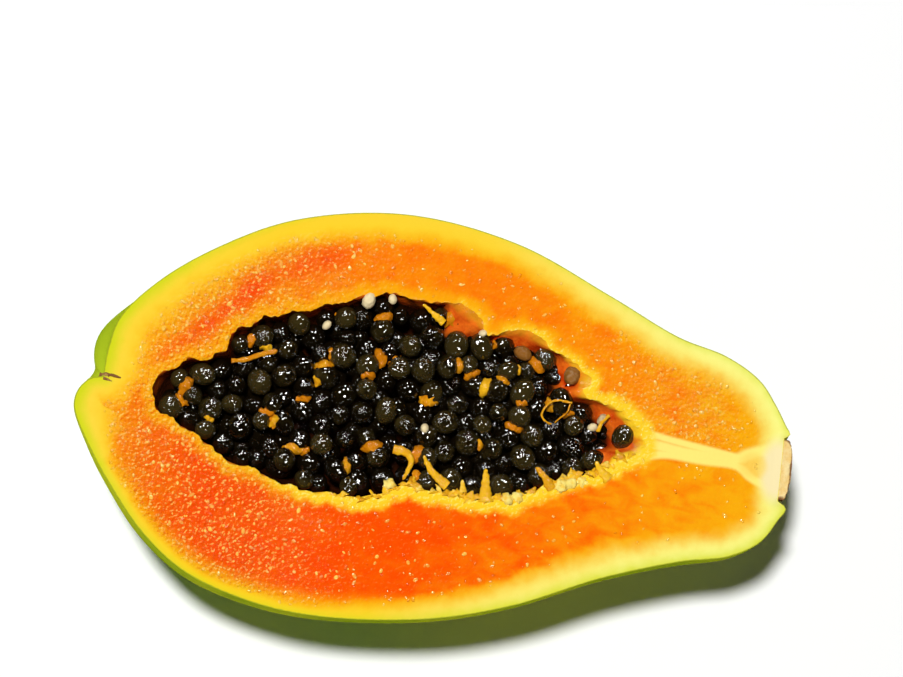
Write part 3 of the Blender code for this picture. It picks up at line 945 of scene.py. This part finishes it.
def wall_finish(colours):
    """The cavity's wall: red-orange and wet, yellow near its edge, with painted shade that darkens it
    deeper down.
    """
    paint = Paint("cavity_wall", Roughness=0.15, Specular_IOR_Level=0.15)
    lining, depth = paint.attribute("lining"), paint.attribute("depth")
    cloudy = paint.noise(0.28, 3.0)
    uneven = cloudy - 0.5
    colour = paint.over(
        colours.wall_deep,
        (cloudy.rises(0.3, 0.7), colours.wall),
        (lining * (1.0 - (depth + uneven * 3.0).rises(0.3, 2.0)), colours.lining),
        # Painted shade: the wall goes nearly black deeper down, under the seeds.
        ((depth + uneven * 4.0).rises(3.5, 7.0), colours.painted_wall_shade),
    )
    return paint.finish(colour, cloudy + paint.noise(1.4, 2.0) * 0.5, strength=0.7)


def skin_finish(colours):
    """Waxy skin: lime green with yellow blotches, darker streaks, brown specks and fine pits."""
    paint = Paint("skin", Specular_IOR_Level=0.0, Coat_Roughness=0.3)
    blotch, depth = paint.noise(0.07, 3.0), paint.attribute("depth")
    ripe = paint.noise(0.022, 2.0).rises(0.4, 0.62) * 0.75 + (blotch - 0.5) * 0.9
    colour = paint.over(
        colours.skin,
        (ripe.rises(0.0, 0.8), colours.skin_ripe),
        (blotch.rises(0.42, 0.3) * 0.6, colours.skin_dark),
        (paint.cells(0.13).rises(0.07, 0.03) * 0.55, colours.skin_speck),
        (depth.rises(15.0, 2.0) * 0.6, colours.skin_ripe),
    )
    height = blotch * 1.2 + paint.cells(0.9).rises(0.0, 0.5) * 0.12
    wax = depth.rises(14.0, 24.0) * (0.5 - blotch * 0.4)
    return paint.finish(colour, height, 0.35, 0.5, Coat_Weight=wax)


def tissue_finish(colours):
    """Amber to yellow tissue that held the seeds, soft and wet."""
    paint = Paint("placenta", Roughness=0.12, Specular_IOR_Level=0.16)
    shade = paint.attribute("tone") + (paint.noise(0.6, 2.0) - 0.5) * 0.8
    colour = paint.over(
        colours.amber, (shade.rises(0.0, 1.0), colours.tissue),
        (shade.rises(0.95, 1.4), colours.crumb),
    )
    return paint.finish(colour, paint.noise(1.8, 2.0), 0.4, 0.7)


def seed_finish(colours):
    """Dark seeds in their glassy sacs, with painted shade that turns them black the deeper they lie.
    Where the sac has gone the seed is black and wrinkled.
    """
    paint = Paint("seed", Roughness=0.03, Specular_IOR_Level=0.8)
    tone, wrinkle, buried = (paint.attribute(key) for key in ("tone", "wrinkle", "buried"))
    # Painted shade: the deeper a seed lies, the blacker its colour.
    olive = tone * 0.9 + (paint.noise(0.35, 2.0) - 0.5) * 2.0 + 0.25 - buried * 1.3
    colour = paint.mix(olive.rises(0.0, 1.0), colours.seed_black, colours.seed_olive)
    height = paint.noise(0.6, 1.0) * 0.15 + paint.noise(1.3) * (0.1 + wrinkle * 0.75)
    return paint.finish(colour, height + paint.cells(1.2, 0.5) * wrinkle * 0.6, strength=0.9)


def pale_seed_finish(colours):
    """Seeds that never ripened: cream to tan, dry and wrinkled."""
    paint = Paint("unripe_seed", Roughness=0.3, Specular_IOR_Level=0.06)
    cloudy = paint.noise(0.9, 2.0)
    cream = (paint.attribute("tone") + (cloudy - 0.5) * 0.6).rises(0.0, 1.0)
    colour = paint.mix(cream, colours.unripe_brown, colours.unripe_cream)
    return paint.finish(colour, cloudy, strength=0.8)


def cork_finish(colours):
    """The stub: tan cut cork, brown and cracked on the outside."""
    paint = Paint("cork", Roughness=0.8, Specular_IOR_Level=0.2)
    coarse = paint.noise(0.45, 4.0)
    worn = paint.attribute("edge") + (coarse - 0.5) * 1.6
    colour = paint.over(
        colours.cork, (coarse.rises(0.3, 0.7), colours.cork_light),
        (worn.rises(0.5, 0.95), colours.cork_dark),
    )
    return paint.finish(colour, coarse + paint.noise(1.6, 3.0) * 0.5, 0.7, 0.9)


# Seeds

def wall_map(step=0.5, margin=12.0):
    """A grid of how far each place of the cut face is inside the cavity's mouth, in mm, its
    corner and its step. Outside the mouth the distance is negative."""
    mouth = mouth_line(240)
    low = mouth.min(axis=0) - margin
    size = np.ceil((mouth.max(axis=0) + margin - low) / step).astype(int)
    x, y = (low[k] + step * np.arange(size[k]) for k in (0, 1))
    flat = np.stack(np.meshgrid(x, y, indexing="ij"), axis=2).reshape(-1, 2)
    gap, _ = distance_to(flat, mouth, closed=True)
    return np.where(inside(flat, mouth), gap, -gap).reshape(size), low, step


def room_at(places, field):
    """How far the cavity's wall is from each (x, y, z), in mm, and the way to its middle."""
    grid, low, step = field
    middle = np.array(CAVITY_MIDDLE)
    scale = np.array([max(basin_scale(max(-z, 0.0)), 0.2) for z in places[:, 2]])
    flat = middle + (places[:, :2] - middle) / scale[:, None]
    cell = np.clip(((flat - low) / step), 1, np.array(grid.shape) - 2).round().astype(int)
    i, j = cell.T
    slope = np.stack([grid[i + 1, j] - grid[i - 1, j], grid[i, j + 1] - grid[i, j - 1]], axis=1)
    slope /= np.maximum(np.linalg.norm(slope, axis=1), 1e-6)[:, None]
    return grid[i, j] * scale, slope


def heap_top(x, y, room):
    """The level that the seeds reach: a low uneven swell that drops towards the wall."""
    long_x, long_y, short_x, short_y = HEAP_WAVES
    swell = np.sin(x / long_x + 0.8) * np.cos(y / long_y) + 0.6 * np.sin(x / short_x - y / short_y)
    drop = sum(
        depth * np.exp(-(((x - middle_x) ** 2 + (y - middle_y) ** 2) / reach**2))
        for middle_x, middle_y, reach, depth in HEAP_HOLLOWS
    )
    top = HEAP_TOP + HEAP_SWELL * swell - HEAP_EDGE_DROP * np.exp(-room / HEAP_EDGE_WIDTH) - drop
    return np.minimum(top, HEAP_LIMIT)


def lay_seeds():
    """(x, y, z, radius) of every seed, in mm: strewn at random, then pushed apart within the
    cavity until they only just press into each other."""
    draw = np.random.default_rng(SEED_DRAW)
    field = wall_map()
    low, high = mouth_line(96).min(axis=0), mouth_line(96).max(axis=0)
    seeds = np.c_[
        draw.uniform(low[0], high[0], SEED_COUNT), draw.uniform(low[1], high[1], SEED_COUNT),
        draw.uniform(HEAP_FLOOR, HEAP_TOP - 3.0, SEED_COUNT), draw.uniform(*SEED_RADIUS, SEED_COUNT),
    ]
    place, radius = seeds[:, :3], seeds[:, 3]
    held_down = SEED_HELD_DOWN * draw.random(SEED_COUNT) ** 1.5
    reach = SEED_OVERLAP * (radius[:, None] + radius[None])
    for _ in range(SEED_ROUNDS):
        apart = place[:, None] - place[None]
        distance = np.linalg.norm(apart, axis=2) + 1e-6
        overlap = np.clip(reach - distance, 0.0, None)
        np.fill_diagonal(overlap, 0.0)
        push = (apart / distance[..., None] * overlap[..., None]).sum(axis=1)
        place += push * SEED_PUSH
        room, way = room_at(place, field)
        place[:, :2] += way * np.clip(radius * 0.9 + WALL_GAP - room, 0.0, 3.0)[:, None]
        top = heap_top(place[:, 0], place[:, 1], room) - radius - held_down
        place[:, 2] += SEED_RISE
        place[:, 2] = np.clip(place[:, 2], HEAP_FLOOR, np.maximum(top, HEAP_FLOOR))
        place[0], radius[0] = LONE_SEED[:3], LONE_SEED[3]
    return seeds


def seed_tree(material, sizes):
    """Each point becomes an egg-shaped seed, turned at random and a little lumpy."""
    nodes, entry = new_tree("Seeds", sizes)
    balls = [
        nodes.add("GeometryNodeMeshIcoSphere", None, {"Radius": 1.0, "Subdivisions": level})
        for level in (3, 2)
    ]
    pair = nodes.add("GeometryNodeGeometryToInstance", None, {0: balls})
    hidden = nodes.add("FunctionNodeCompare", {"operation": "GREATER_THAN"}, {
        0: named(nodes, "buried"), 1: 0.95})
    size, stretch = named(nodes, "size") * MM, named(nodes, "stretch")
    scale = nodes.add("ShaderNodeCombineXYZ", None, {
        0: size * (1.0 + stretch), 1: size, 2: size * (1.0 - stretch * 0.5)})
    chosen = {"Pick Instance": True, "Instance Index": hidden}
    spread = strewn(nodes, entry, pair, scale, 1.2, 3, chosen)
    real = nodes.add("GeometryNodeRealizeInstances", None, {0: spread})
    lump = nodes.add("ShaderNodeTexNoise", None, {"Scale": 0.33 / MM, "Detail": 1.0})
    push = (lump - 0.5) * entry.other("Lumps") * (0.5 + named(nodes, "wrinkle"))
    normal = nodes.add("GeometryNodeInputNormal")
    offset = nodes.add("ShaderNodeVectorMath", {"operation": "SCALE"}, {0: normal, "Scale": push})
    moved = nodes.add("GeometryNodeSetPosition", None, {0: real, "Offset": offset})
    end_tree(nodes, moved, material)
    return nodes


# Shreds, threads and beads

def tube(line, widths, flatness=0.6, sides=9):
    """Points and faces of a closed tube along a line of (x, y, z), with a half width for each."""
    line = np.asarray(line, float)
    tangent = unit(np.gradient(line, axis=0))
    side = unit(np.cross(tangent, [0.02, 0.03, 1.0]))
    up = np.cross(side, tangent)
    angles = (np.arange(sides) * 2 * math.pi / sides)[None, :, None]
    ring = np.cos(angles) * side[:, None] + flatness * np.sin(angles) * up[:, None]
    points = line[:, None] + np.asarray(widths)[:, None, None] * ring
    number = numbered(0, len(line), sides)
    faces = quads(number, closed=True) + [number[0, ::-1].tolist(), number[-1].tolist()]
    return points.reshape(-1, 3), faces


def joined(parts):
    """One list of points and one of faces from several (points, faces, tone), and their tones."""
    points, faces, tones, first = [], [], [], 0
    for some, more, tone in parts:
        points.append(some)
        faces += [[first + number for number in face] for face in more]
        tones += [tone] * len(some)
        first += len(some)
    return np.vstack(points), faces, tones


def tongues():
    """The few large tongues, threads and the torn sac, tapered and a little crumpled."""
    parts = []
    for number, (knots, half_width, tone) in enumerate(TONGUES):
        line = smooth_line(knots, np.linspace(0, 1, 26))
        share = np.linspace(0, 1, 26)
        taper = 1.25 - 0.95 * share if half_width > 0.6 else np.ones(26)
        widths = half_width * taper * (1 + 0.3 * soft_noise(line, 1.2, number + 1.0))
        widths[-1] *= 0.4
        points, faces = tube(line, widths, 0.5)
        parts.append((crumpled(points, 0.18, 0.8, 3.0), faces, tone))
    for number, (x, y, half_width) in enumerate(CRUMBS):
        ends = np.linspace(-1, 1, 12)
        line = np.c_[x + half_width * ends, y + 0.3 * half_width * ends, -0.1 - 0.4 * ends**2]
        widths = half_width * (0.2 + 0.75 * np.sqrt(1 - 0.96 * ends**2))
        points, faces = tube(line, widths, 0.6, 12)
        parts.append((crumpled(points, 0.7, 0.9, number, 7.0), faces, 1.25))
    return parts


def shreds_between(seeds):
    """Lumps of tissue squeezed between upper seeds that touch."""
    draw = random.Random(SHRED_DRAW)
    upper = seeds[seeds[:, 2] > -SHRED_DEPTH]
    parts = []
    while len(parts) < SHREDS:
        one = draw.choice(upper)
        others = upper[np.linalg.norm(upper[:, :2] - one[:2], axis=1) < SHRED_SPAN[1]]
        other = others[draw.randrange(len(others))]
        away = other[:2] - one[:2]
        if np.linalg.norm(away) <= SHRED_SPAN[0] or abs(one[2] - other[2]) > SHRED_STEP:
            continue
        middle = (one[:3] + other[:3]) / 2
        middle[2] = min(middle[2] + 0.5 * one[3], HEAP_TOP - 0.3)
        across = np.array([-away[1], away[0]]) / np.linalg.norm(away)
        reach = draw.uniform(*SHRED_REACH)
        turn = draw.uniform(-0.5, 0.5)
        across = np.array([across[0] - turn * across[1], across[1] + turn * across[0]])
        ends = np.linspace(-1, 1, 12)[:, None]
        bow = draw.uniform(-0.4, 0.4) * (1 - ends**2)
        flat = middle[:2] + ends * across * reach + bow * away / 4
        line = np.hstack([flat, middle[2] - 0.5 * ends**2 * reach])
        widths = reach * draw.uniform(0.4, 0.85) * (0.2 + 0.8 * np.sqrt(1 - 0.96 * ends[:, 0] ** 2))
        points, faces = tube(line, widths, 0.8, 12)
        points = crumpled(points, 0.7, 1.0, len(parts), 9.0)
        parts.append((points, faces, draw.uniform(-0.2, 0.7)))
    return parts


def fringe():
    """Small torn tufts that hang from the mouth's edge into the cavity."""
    draw = random.Random(SHRED_DRAW + 1)
    _, line, _ = ragged_mouth()
    middle = np.array(CAVITY_MIDDLE)
    parts = []
    for _ in range(FRINGE):
        number = draw.randrange(len(line))
        x, y = line[number]
        strength = float(by_place("fringe", x, y, 2.0))
        if draw.random() > strength:
            continue
        tangent = line[(number + 4) % len(line)] - line[number - 4]
        tangent /= np.linalg.norm(tangent)
        way = np.array([tangent[1], -tangent[0]])
        way = way * np.sign(way @ (middle - line[number])) + tangent * draw.uniform(-0.8, 0.8)
        reach = draw.uniform(*FRINGE_REACH) * (0.3 + 0.7 * strength) * draw.uniform(0.3, 1.0)
        share = np.linspace(0, 1, 9)[:, None]
        start = line[number] - way * 0.4
        sag = -0.35 - draw.uniform(0.0, 1.1) * share**2 * reach
        curl = tangent * draw.uniform(-0.4, 0.4) * share**2 * reach
        spots = np.hstack([start + way * share * (reach + 0.4) + curl, sag])
        widths = draw.uniform(0.6, 1.5) * (1.04 - share[:, 0]) ** 0.7
        points, faces = tube(spots, widths, 0.42, 9)
        points = crumpled(points, 0.45, 0.9, 5.0, 1.0)
        parts.append((points, faces, draw.uniform(0.5, 1.1)))
    return parts


def bead_points():
    """Where the juice beads sit on the cut face, and the values they take over from it."""
    draw = np.random.default_rng(BEAD_DRAW)
    shares = np.linspace(0, 1, 160)
    rim = np.vstack([smooth_line(UPPER_RIM, shares), smooth_line(LOWER_RIM, shares)[:0:-1] * [1, -1]])
    _, mouth, _ = ragged_mouth()
    mouth = mouth[::5]
    flat = draw.uniform(rim.min(axis=0), rim.max(axis=0), (BEADS_TRIED, 2))
    flat = flat[inside(flat, rim) & ~inside(flat, mouth)]
    values = face_values(np.c_[flat, np.zeros(len(flat))], rim, mouth)
    clumps = 0.65 + 0.7 * soft_noise(flat, 3.5, 11.0)
    wet = values["grain"] ** 0.7 * np.clip((values["rind"] - 0.75) / 0.5, 0, 1) * clumps
    wet *= np.clip((values["mouth_gap"] - 0.5) / 1.5, 0, 1) * (1 - values["fibre"])
    kept = draw.random(len(flat)) < wet
    values = {key: number[kept] for key, number in values.items()}
    points = np.c_[flat[kept], np.zeros(kept.sum())]
    values["size"] = draw.uniform(*BEAD_RADIUS, len(points))
    values["size"] *= 0.7 + 0.6 * draw.random(len(points)) ** 2
    points[:, 2] = 0.02 - face_relief(points, values) - 0.16 * values["size"]
    values["stretch"] = draw.uniform(0.0, 0.9, len(points))
    # How much painted sheen lightens each bead.
    values["shine"] = np.clip(draw.normal(0.35, 0.3, len(points)), 0.0, 0.95)
    return points, values


def bead_tree(material, sizes):
    """Each point becomes a low oval dome."""
    nodes, entry = new_tree("Beads", sizes)
    ball = nodes.add("GeometryNodeMeshUVSphere", None, {"Segments": 7, "Rings": 4, "Radius": 1.0})
    size = named(nodes, "size") * MM
    scale = nodes.add("ShaderNodeCombineXYZ", None, {
        0: size * (named(nodes, "stretch") + 1.0), 1: size, 2: size * entry.other("Height")})
    end_tree(nodes, strewn(nodes, entry, ball, scale, 0.3, 8), material)
    return nodes


# The builders, one for each piece or group of like pieces

def build_fruit(colours):
    points, faces, values, material = fruit_surface()
    finishes = [finish(colours) for finish in (skin_finish, flesh_finish, wall_finish)]
    fruit = shell("fruit_body", points, faces, values, finishes)
    fruit.data.polygons.foreach_set("material_index", material)
    return finished(fruit, "flesh", "fruit_half")


def build_seeds(colours, lumps, seeds):
    draw = random.Random(SEED_DRAW + 1)
    values = {
        "size": seeds[:, 3],
        "stretch": [draw.uniform(0.0, SEED_STRETCH) for _ in seeds],
        "tone": [draw.random() for _ in seeds],
        "wrinkle": [draw.random() ** 1.3 for _ in seeds],
        # How deep each seed lies, for painted shade and for its plainer mesh.
        "buried": np.clip((-seeds[:, 2] - BURIED_SHADE_FROM) / BURIED_SHADE_WITHIN, 0.0, 1.0),
    }
    finish, sizes = seed_finish(colours), {"Lumps": lumps}
    heap = grown("seed_heap", seeds[:, :3], values, seed_tree, finish, sizes)
    return finished(heap, "seeds", "seed_cluster")


def build_tissue(colours, seeds):
    """The torn tissue that held the seeds."""
    points, faces, tones = joined(tongues() + shreds_between(seeds) + fringe())
    tissue = shell("torn_tissue", points, faces, {"tone": tones}, [tissue_finish(colours)], 80)
    return finished(tissue, "flesh")


def build_unripe(colours, lumps):
    rows = np.array(UNRIPE)
    values = {"size": rows[:, 3], "tone": rows[:, 4]}
    for key, value in (("stretch", 0.3), ("wrinkle", 0.9), ("buried", 0.0)):
        values[key] = [value] * len(rows)
    finish, sizes = pale_seed_finish(colours), {"Lumps": lumps * 1.4}
    unripe = grown("unripe_seeds", rows[:, :3], values, seed_tree, finish, sizes)
    return finished(unripe, "seeds")


def build_beads(colours):
    points, values = bead_points()
    finish, sizes = bead_finish(colours), {"Height": BEAD_HEIGHT}
    beads = grown("juice_beads", points, values, bead_tree, finish, sizes)
    return finished(beads, "flesh")


def build_scar(colours):
    """Dried brown remains of the flower in the dimple."""
    parts = []
    for knots, half_width in SCAR:
        line = smooth_line(knots, np.linspace(0, 1, 14))
        taper = half_width * (1.0 - 0.75 * np.linspace(0, 1, 14))
        points, faces = tube(line, taper * (1 + 0.5 * soft_noise(line, 0.7, 2.0)), 0.5)
        parts.append((crumpled(points, 0.12, 0.5, 3.0), faces, 1.1))
    points, faces, tones = joined(parts)
    scar = shell("blossom_scar", points, faces, {"edge": tones}, [cork_finish(colours)], 80)
    return finished(scar, "flesh")


def build_stub(colours):
    """A low dome of cork, cut through the middle, with a notched and pitted edge."""
    angles = np.linspace(0.0, math.pi, 97)
    notch = 1 + sum(deep * np.sin(many * angles) for many, deep in STUB_NOTCHES)
    notch += 0.03 * soft_noise(np.c_[angles * 9, angles * 0], 1.0, 2.0)
    start = SEAT_AT - STUB_SUNK
    rows = []
    for lean in np.concatenate([[-1.0, -0.5], np.linspace(0.0, math.pi / 2, 22)[:-1]]):
        rise = max(lean, 0.0)
        radius = STUB_RADIUS * np.cos(rise) * notch
        along = start + (STUB_THICKNESS * (1 + min(lean, 0.0)) + STUB_DOME * np.sin(rise))
        y, z = radius * np.cos(angles), -radius * np.sin(angles)
        rows.append(np.c_[np.full(len(angles), along), y, z])
    grid = np.stack(rows)
    grid[2:, :, 0] -= STUB_PITS * dents(grid, STUB_PIT_SIZE, 6.0)[2:]
    across = np.linspace(1.0, -1.0, 33)[1:-1]
    cut = grid[:, :1] + (grid[:, -1:] - grid[:, :1]) * ((1 - across) / 2)[None, :, None]
    cut[:, :, 2] -= STUB_SAW * dents(cut, STUB_SAW_SIZE, 8.0)
    number = numbered(0, *grid.shape[:2])
    inner = numbered(number.size, *cut.shape[:2])
    tip = number.size + inner.size
    chord = np.hstack([number[:, :1], inner, number[:, -1:]])
    faces = quads(number, closed=False) + quads(chord, closed=False)
    faces += [(number[-1, j], number[-1, j + 1], tip) for j in range(len(angles) - 1)]
    faces += [(chord[-1, j], chord[-1, j + 1], tip) for j in range(chord.shape[1] - 1)]
    faces.append(number[0].tolist() + inner[0, ::-1].tolist())
    end = [[start + STUB_THICKNESS + STUB_DOME - 0.1, 0, 0]]
    points = np.vstack([grid.reshape(-1, 3), cut.reshape(-1, 3), end])
    rim = np.clip((np.arange(len(grid)) - 4) / 10, 0, 1)[:, None] ** 2
    dark = np.maximum(rim, np.abs(across)[None] ** 6)
    edge = np.concatenate([np.ones(number.size), dark.ravel(), [1.0]])
    stub = shell("stub_cork", points, faces, {"edge": edge}, [cork_finish(colours)])
    return finished(stub, "stub", "stalk_stub")


def build_stage(stage):
    """A pale floor, soft light from above and the camera."""
    scene = bpy.context.scene
    scene.view_settings.view_transform = "Standard"
    scene.view_settings.look = "None"
    bpy.ops.mesh.primitive_plane_add(size=FLOOR_SIDE, location=(0.0, 0.0, -FLOOR_GAP))
    floor = bpy.context.object
    floor.name = "floor"
    paint = Paint("floor", Roughness=0.9, Specular_IOR_Level=0.1)
    dark, light = ((grey,) * 3 for grey in FLOOR_GREYS)
    floor.data.materials.append(paint.finish(paint.mix(paint.noise(0.004, 1.0), dark, light)))
    floor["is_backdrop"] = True
    world = bpy.data.worlds.new("studio")
    world.use_nodes = True
    sky = world.node_tree.nodes["Background"].inputs
    sky["Color"].default_value = (1.0, 1.0, 1.0, 1.0)
    sky["Strength"].default_value = stage.ambient
    world.cycles_visibility.glossy = False
    scene.world = world
    add_light("key", stage.key_power, *KEY_LIGHT).visible_glossy = False
    for number, glint in enumerate(GLINTS):
        add_light(f"glint_{number}", stage.glint_power, *glint).visible_diffuse = False
    add_camera()


def add_light(name, power, place, size):
    light = bpy.data.lights.new(name, "AREA")
    light.energy = power
    light.shape = "DISK"
    light.size = size
    obj = bpy.data.objects.new(name, light)
    obj.location = place
    obj.rotation_euler = (-Vector(place)).to_track_quat("-Z", "Y").to_euler()
    bpy.context.scene.collection.objects.link(obj)
    return obj


def add_camera():
    """Looks at the cut face from the photograph's side, with the fruit's axis tipped clockwise."""
    roll = math.radians(VIEW_ROLL)
    right = Vector((math.cos(roll), math.sin(roll), 0.0))
    up = Vector((-math.sin(roll), math.cos(roll), 0.0))
    back = Vector((0.0, 0.0, 1.0)) - right * math.tan(math.radians(VIEW_FROM_LEFT))
    back -= up * math.tan(math.radians(VIEW_FROM_BELOW))
    back.normalize()
    right = up.cross(back).normalized()
    up = back.cross(right)
    aim = Vector(placed([[*VIEW_AIM, 0.0]])[0])
    data = bpy.data.cameras.new("camera")
    data.lens = VIEW_LENS
    data.clip_start = 0.01
    camera = bpy.data.objects.new("camera", data)
    turn = Matrix((right, up, back)).transposed().to_4x4()
    camera.matrix_world = Matrix.Translation(aim + back * VIEW_DISTANCE) @ turn
    bpy.context.scene.collection.objects.link(camera)
    bpy.context.scene.camera = camera


# Settings, operators and the panel

def tint(name, description, colour):
    return FloatVectorProperty(
        name=name, description=description, subtype="COLOR", size=3, min=0.0, max=1.0, default=colour
    )


class PapayaColours(bpy.types.PropertyGroup):
    skin: tint("Skin", "Green of the skin", (0.2, 0.4, 0.008))
    skin_ripe: tint("Ripe skin", "Yellow-green where the skin ripens", (0.5, 0.56, 0.02))
    skin_dark: tint("Dark skin", "Darker green streaks", (0.07, 0.19, 0.004))
    skin_speck: tint("Skin specks", "Brown specks on the skin", (0.2, 0.12, 0.03))
    skin_line: tint("Skin line", "Cut edge of the skin", (0.35, 0.38, 0.02))
    lime: tint("Lime rind", "Rind next to the skin", (0.62, 0.66, 0.012))
    # Painted shade on the side of the wet grains away from the light.
    painted_grain_shade: tint("Shaded flesh", "Flesh between the wet grains", (0.78, 0.09, 0.001))
    # Painted highlight on the side of the wet grains towards the light.
    grain: tint("Grain", "Wet grains of the flesh that catch the light", (1.0, 0.6, 0.11))
    rind: tint("Rind", "Flesh under the skin", (0.91, 0.59, 0.014))
    rind_pale: tint("Pale rind", "Flesh under the skin at the neck", (0.92, 0.9, 0.24))
    flesh_light: tint("Light flesh", "Least red flesh", (0.91, 0.4, 0.004))
    flesh_deep: tint("Deep flesh", "Reddest flesh", (0.91, 0.055, 0.0))
    lining: tint("Lining", "Tissue at the cavity's edge", (0.94, 0.6, 0.02))
    fibre: tint("Fibre", "Pale fibre between cavity and stalk", (0.95, 0.84, 0.2))
    pith: tint("Pith", "Oval core under the stalk", (0.93, 0.66, 0.12))
    seat: tint("Seat", "Pale flesh under the stalk", (0.92, 0.78, 0.42))
    wall: tint("Cavity wall", "Wall of the seed cavity", (0.85, 0.16, 0.01))
    wall_deep: tint("Deep cavity wall", "Redder parts of that wall", (0.5, 0.035, 0.002))
    # Painted shade on the wall deep under the seeds.
    painted_wall_shade: tint("Cavity floor", "Dark juice-soaked wall under the seeds", (0.03, 0.007, 0.002))
    amber: tint("Amber tissue", "Darker shreds among the seeds", (0.6, 0.19, 0.003))
    tissue: tint("Tissue", "Yellow shreds among the seeds", (0.9, 0.5, 0.014))
    # Painted sheen that lightens the juice beads.
    juice: tint("Juice", "Light that wet grains gather", (1.0, 0.62, 0.09))
    crumb: tint("Crumbs", "Palest lumps at the cavity's edge", (0.96, 0.78, 0.2))
    seed_black: tint("Seed", "Black of the seeds", (0.005, 0.003, 0.001))
    seed_olive: tint("Seed sac", "Olive tone of the sacs", (0.037, 0.025, 0.006))
    unripe_cream: tint("Unripe seed", "Seeds that never ripened", (0.85, 0.7, 0.4))
    unripe_brown: tint("Brown unripe seed", "Browned seeds that never ripened", (0.26, 0.1, 0.015))
    cork: tint("Cork", "Cork of the stalk's stub", (0.86, 0.56, 0.17))
    cork_light: tint("Light cork", "Lighter cork", (0.93, 0.74, 0.34))
    cork_dark: tint("Dark cork", "Outside of the cork", (0.22, 0.09, 0.02))


class PapayaSizes(bpy.types.PropertyGroup):
    lumps: FloatProperty(
        name="Seed lumps", description="How far a seed's surface stands in and out",
        default=0.5 * MM, min=0.0, unit="LENGTH",
    )


class PapayaStage(bpy.types.PropertyGroup):
    ambient: FloatProperty(
        name="Ambient", description="Strength of the light all round", default=0.028, min=0.0
    )
    key_power: FloatProperty(
        name="Key light", description="Power of the main lamp", default=68.0, min=0.0, unit="POWER"
    )
    glint_power: FloatProperty(
        name="Glints", description="Power of each lamp that only shows as a reflection",
        default=2.0, min=0.0, unit="POWER",
    )


class PAPAYA_OT_fruit(bpy.types.Operator):
    """Build the skin, the cut face and the cavity's wall"""
    bl_idname = "papaya.fruit"
    bl_label = "Fruit"

    def execute(self, context):
        build_fruit(context.scene.papaya_colours)
        return {"FINISHED"}


class PAPAYA_OT_seeds(bpy.types.Operator):
    """Heap the seeds in the cavity, with the torn tissue that held them"""
    bl_idname = "papaya.seeds"
    bl_label = "Seeds"

    def execute(self, context):
        colours, lumps = context.scene.papaya_colours, context.scene.papaya_sizes.lumps
        seeds = lay_seeds()
        build_seeds(colours, lumps, seeds)
        build_unripe(colours, lumps)
        build_tissue(colours, seeds)
        return {"FINISHED"}


class PAPAYA_OT_beads(bpy.types.Operator):
    """Strew juice beads and wet grains over the cut face"""
    bl_idname = "papaya.beads"
    bl_label = "Juice beads"

    def execute(self, context):
        build_beads(context.scene.papaya_colours)
        return {"FINISHED"}


class PAPAYA_OT_stub(bpy.types.Operator):
    """Build the corky stub of the stalk"""
    bl_idname = "papaya.stub"
    bl_label = "Stalk stub"

    def execute(self, context):
        build_stub(context.scene.papaya_colours)
        build_scar(context.scene.papaya_colours)
        return {"FINISHED"}


class PAPAYA_OT_stage(bpy.types.Operator):
    """Set up the floor, the lights and the camera"""
    bl_idname = "papaya.stage"
    bl_label = "Stage"

    def execute(self, context):
        build_stage(context.scene.papaya_stage)
        return {"FINISHED"}


class PAPAYA_PT_panel(bpy.types.Panel):
    bl_idname = "PAPAYA_PT_panel"
    bl_label = "Papaya half"
    bl_space_type = "VIEW_3D"
    bl_region_type = "UI"
    bl_category = "Papaya"

    def draw(self, context):
        for operator in OPERATORS:
            self.layout.operator(operator.bl_idname)
        for name in GROUPS:
            group = getattr(context.scene, name)
            for key in group.__annotations__:
                self.layout.prop(group, key)


OPERATORS = (PAPAYA_OT_fruit, PAPAYA_OT_beads, PAPAYA_OT_seeds, PAPAYA_OT_stub, PAPAYA_OT_stage)
GROUPS = {
    "papaya_sizes": PapayaSizes, "papaya_stage": PapayaStage, "papaya_colours": PapayaColours,
}
CLASSES = (*GROUPS.values(), *OPERATORS, PAPAYA_PT_panel)


def register():
    for one in CLASSES:
        bpy.utils.register_class(one)
    for name, group in GROUPS.items():
        setattr(bpy.types.Scene, name, PointerProperty(type=group))


def unregister():
    for name in GROUPS:
        delattr(bpy.types.Scene, name)
    for one in reversed(CLASSES):
        bpy.utils.unregister_class(one)


def main():
    register()
    for operator in OPERATORS:
        group, name = operator.bl_idname.split(".")
        getattr(getattr(bpy.ops, group), name)()
    boxes = {"cad": CAD_BOX, "visual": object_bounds()}
    boxes = {name: [list(corner) for corner in box] for name, box in boxes.items()}


if __name__ == "__main__":
    main()
